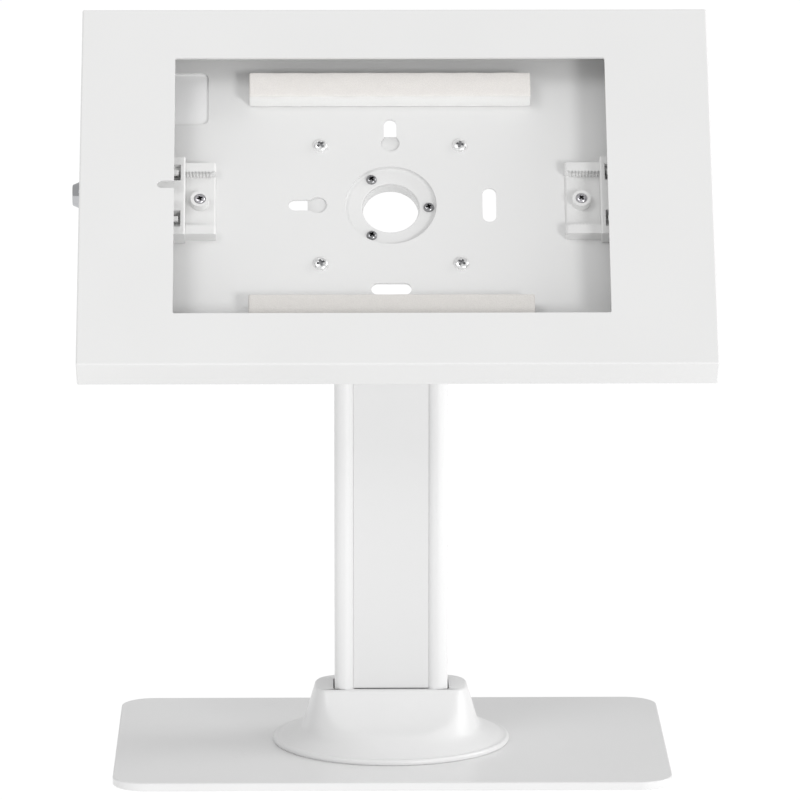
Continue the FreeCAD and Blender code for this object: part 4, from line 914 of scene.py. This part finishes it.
# The light's tone, how bright the surround and the floor are, the floor's shade, and in metres half
# the floor's width and how far the camera sees
PURE_WHITE = (1.0, 1.0, 1.0, 1.0)
SURROUND = 0.59
FLOOR_GLOW = 0.93
FLOOR_SHADE = (0.12, 0.12, 0.12, 1.0)
FLOOR_HALF = 40.0
CAMERA_REACH = 120.0


def build_floor():
    """A pale floor that reads as white, with a soft shadow left in it."""
    mesh = bpy.data.meshes.new("floor")
    corners = [(x * FLOOR_HALF, y * FLOOR_HALF, 0) for x, y in ((-1, -1), (1, -1), (1, 1), (-1, 1))]
    mesh.from_pydata(corners, [], [(0, 1, 2, 3)])
    floor = bpy.data.objects.new("floor", mesh)
    bpy.context.scene.collection.objects.link(floor)
    paint = Coat("pale_floor").finish(Base_Color=FLOOR_SHADE, Roughness=0.9, Specular_IOR_Level=0.0,
                                      Emission_Color=PURE_WHITE, Emission_Strength=FLOOR_GLOW)
    mesh.materials.append(paint)


def area_light(name, place, target, width, height, power):
    """A soft box at a place, facing a target; lengths in metres."""
    data = bpy.data.lights.new(name, "AREA")
    data.shape = "RECTANGLE"
    data.size = width
    data.size_y = height
    data.energy = power
    light = bpy.data.objects.new(name, data)
    bpy.context.scene.collection.objects.link(light)
    light.location = place
    light.rotation_euler = (Vector(target) - Vector(place)).to_track_quat("-Z", "Y").to_euler()


def build_surround():
    """An even white surround."""
    world = bpy.data.worlds.new("surround")
    world.use_nodes = True
    sky = world.node_tree.nodes["Background"]
    sky.inputs["Color"].default_value = PURE_WHITE
    sky.inputs["Strength"].default_value = SURROUND
    bpy.context.scene.world = world


# Soft boxes: name, place, target, width and height in metres, power in watts
SOFT_BOXES = (
    ("key_box", (3.1, -5.24, 0.59), (0, 0, 0.25), 1.3, 1.3, 111.0),
    ("right_box", (5.6, 0.4, 2.6), (0, 0, 0.2), 2.8, 3.6, 136.0),
    ("top_left_box", (-1.05, -1.25, 1.7), (-0.1, 0, 0.3), 0.8, 0.8, 8.0),
)


def build_studio():
    """Floor, surround, soft boxes and the photograph's camera."""
    build_floor()
    build_surround()
    for box in SOFT_BOXES:
        area_light(*box)
    data = bpy.data.cameras.new("camera")
    data.lens = CAMERA_LENS
    data.sensor_width = SENSOR
    data.clip_end = CAMERA_REACH
    camera = bpy.data.objects.new("camera", data)
    bpy.context.scene.collection.objects.link(camera)
    camera.location = Vector(CAMERA_PLACE) * MM
    camera.rotation_euler = Vector(CAMERA_AIM).to_track_quat("-Z", "Y").to_euler()
    bpy.context.scene.camera = camera
    bpy.context.scene.view_settings.view_transform = "Standard"


def build_holder():
    """Every piece of the holder."""
    for node, coat, width in EASED_NODES:
        eased(node, coat, width)
    build_screws()
    build_base_cover()
    build_foam_bar("foam_bar_top", "top_foam")
    build_foam_bar("foam_bar_bottom", "painted_shade_bottom_foam")
    build_adapter_plate()


build_holder()
build_studio()
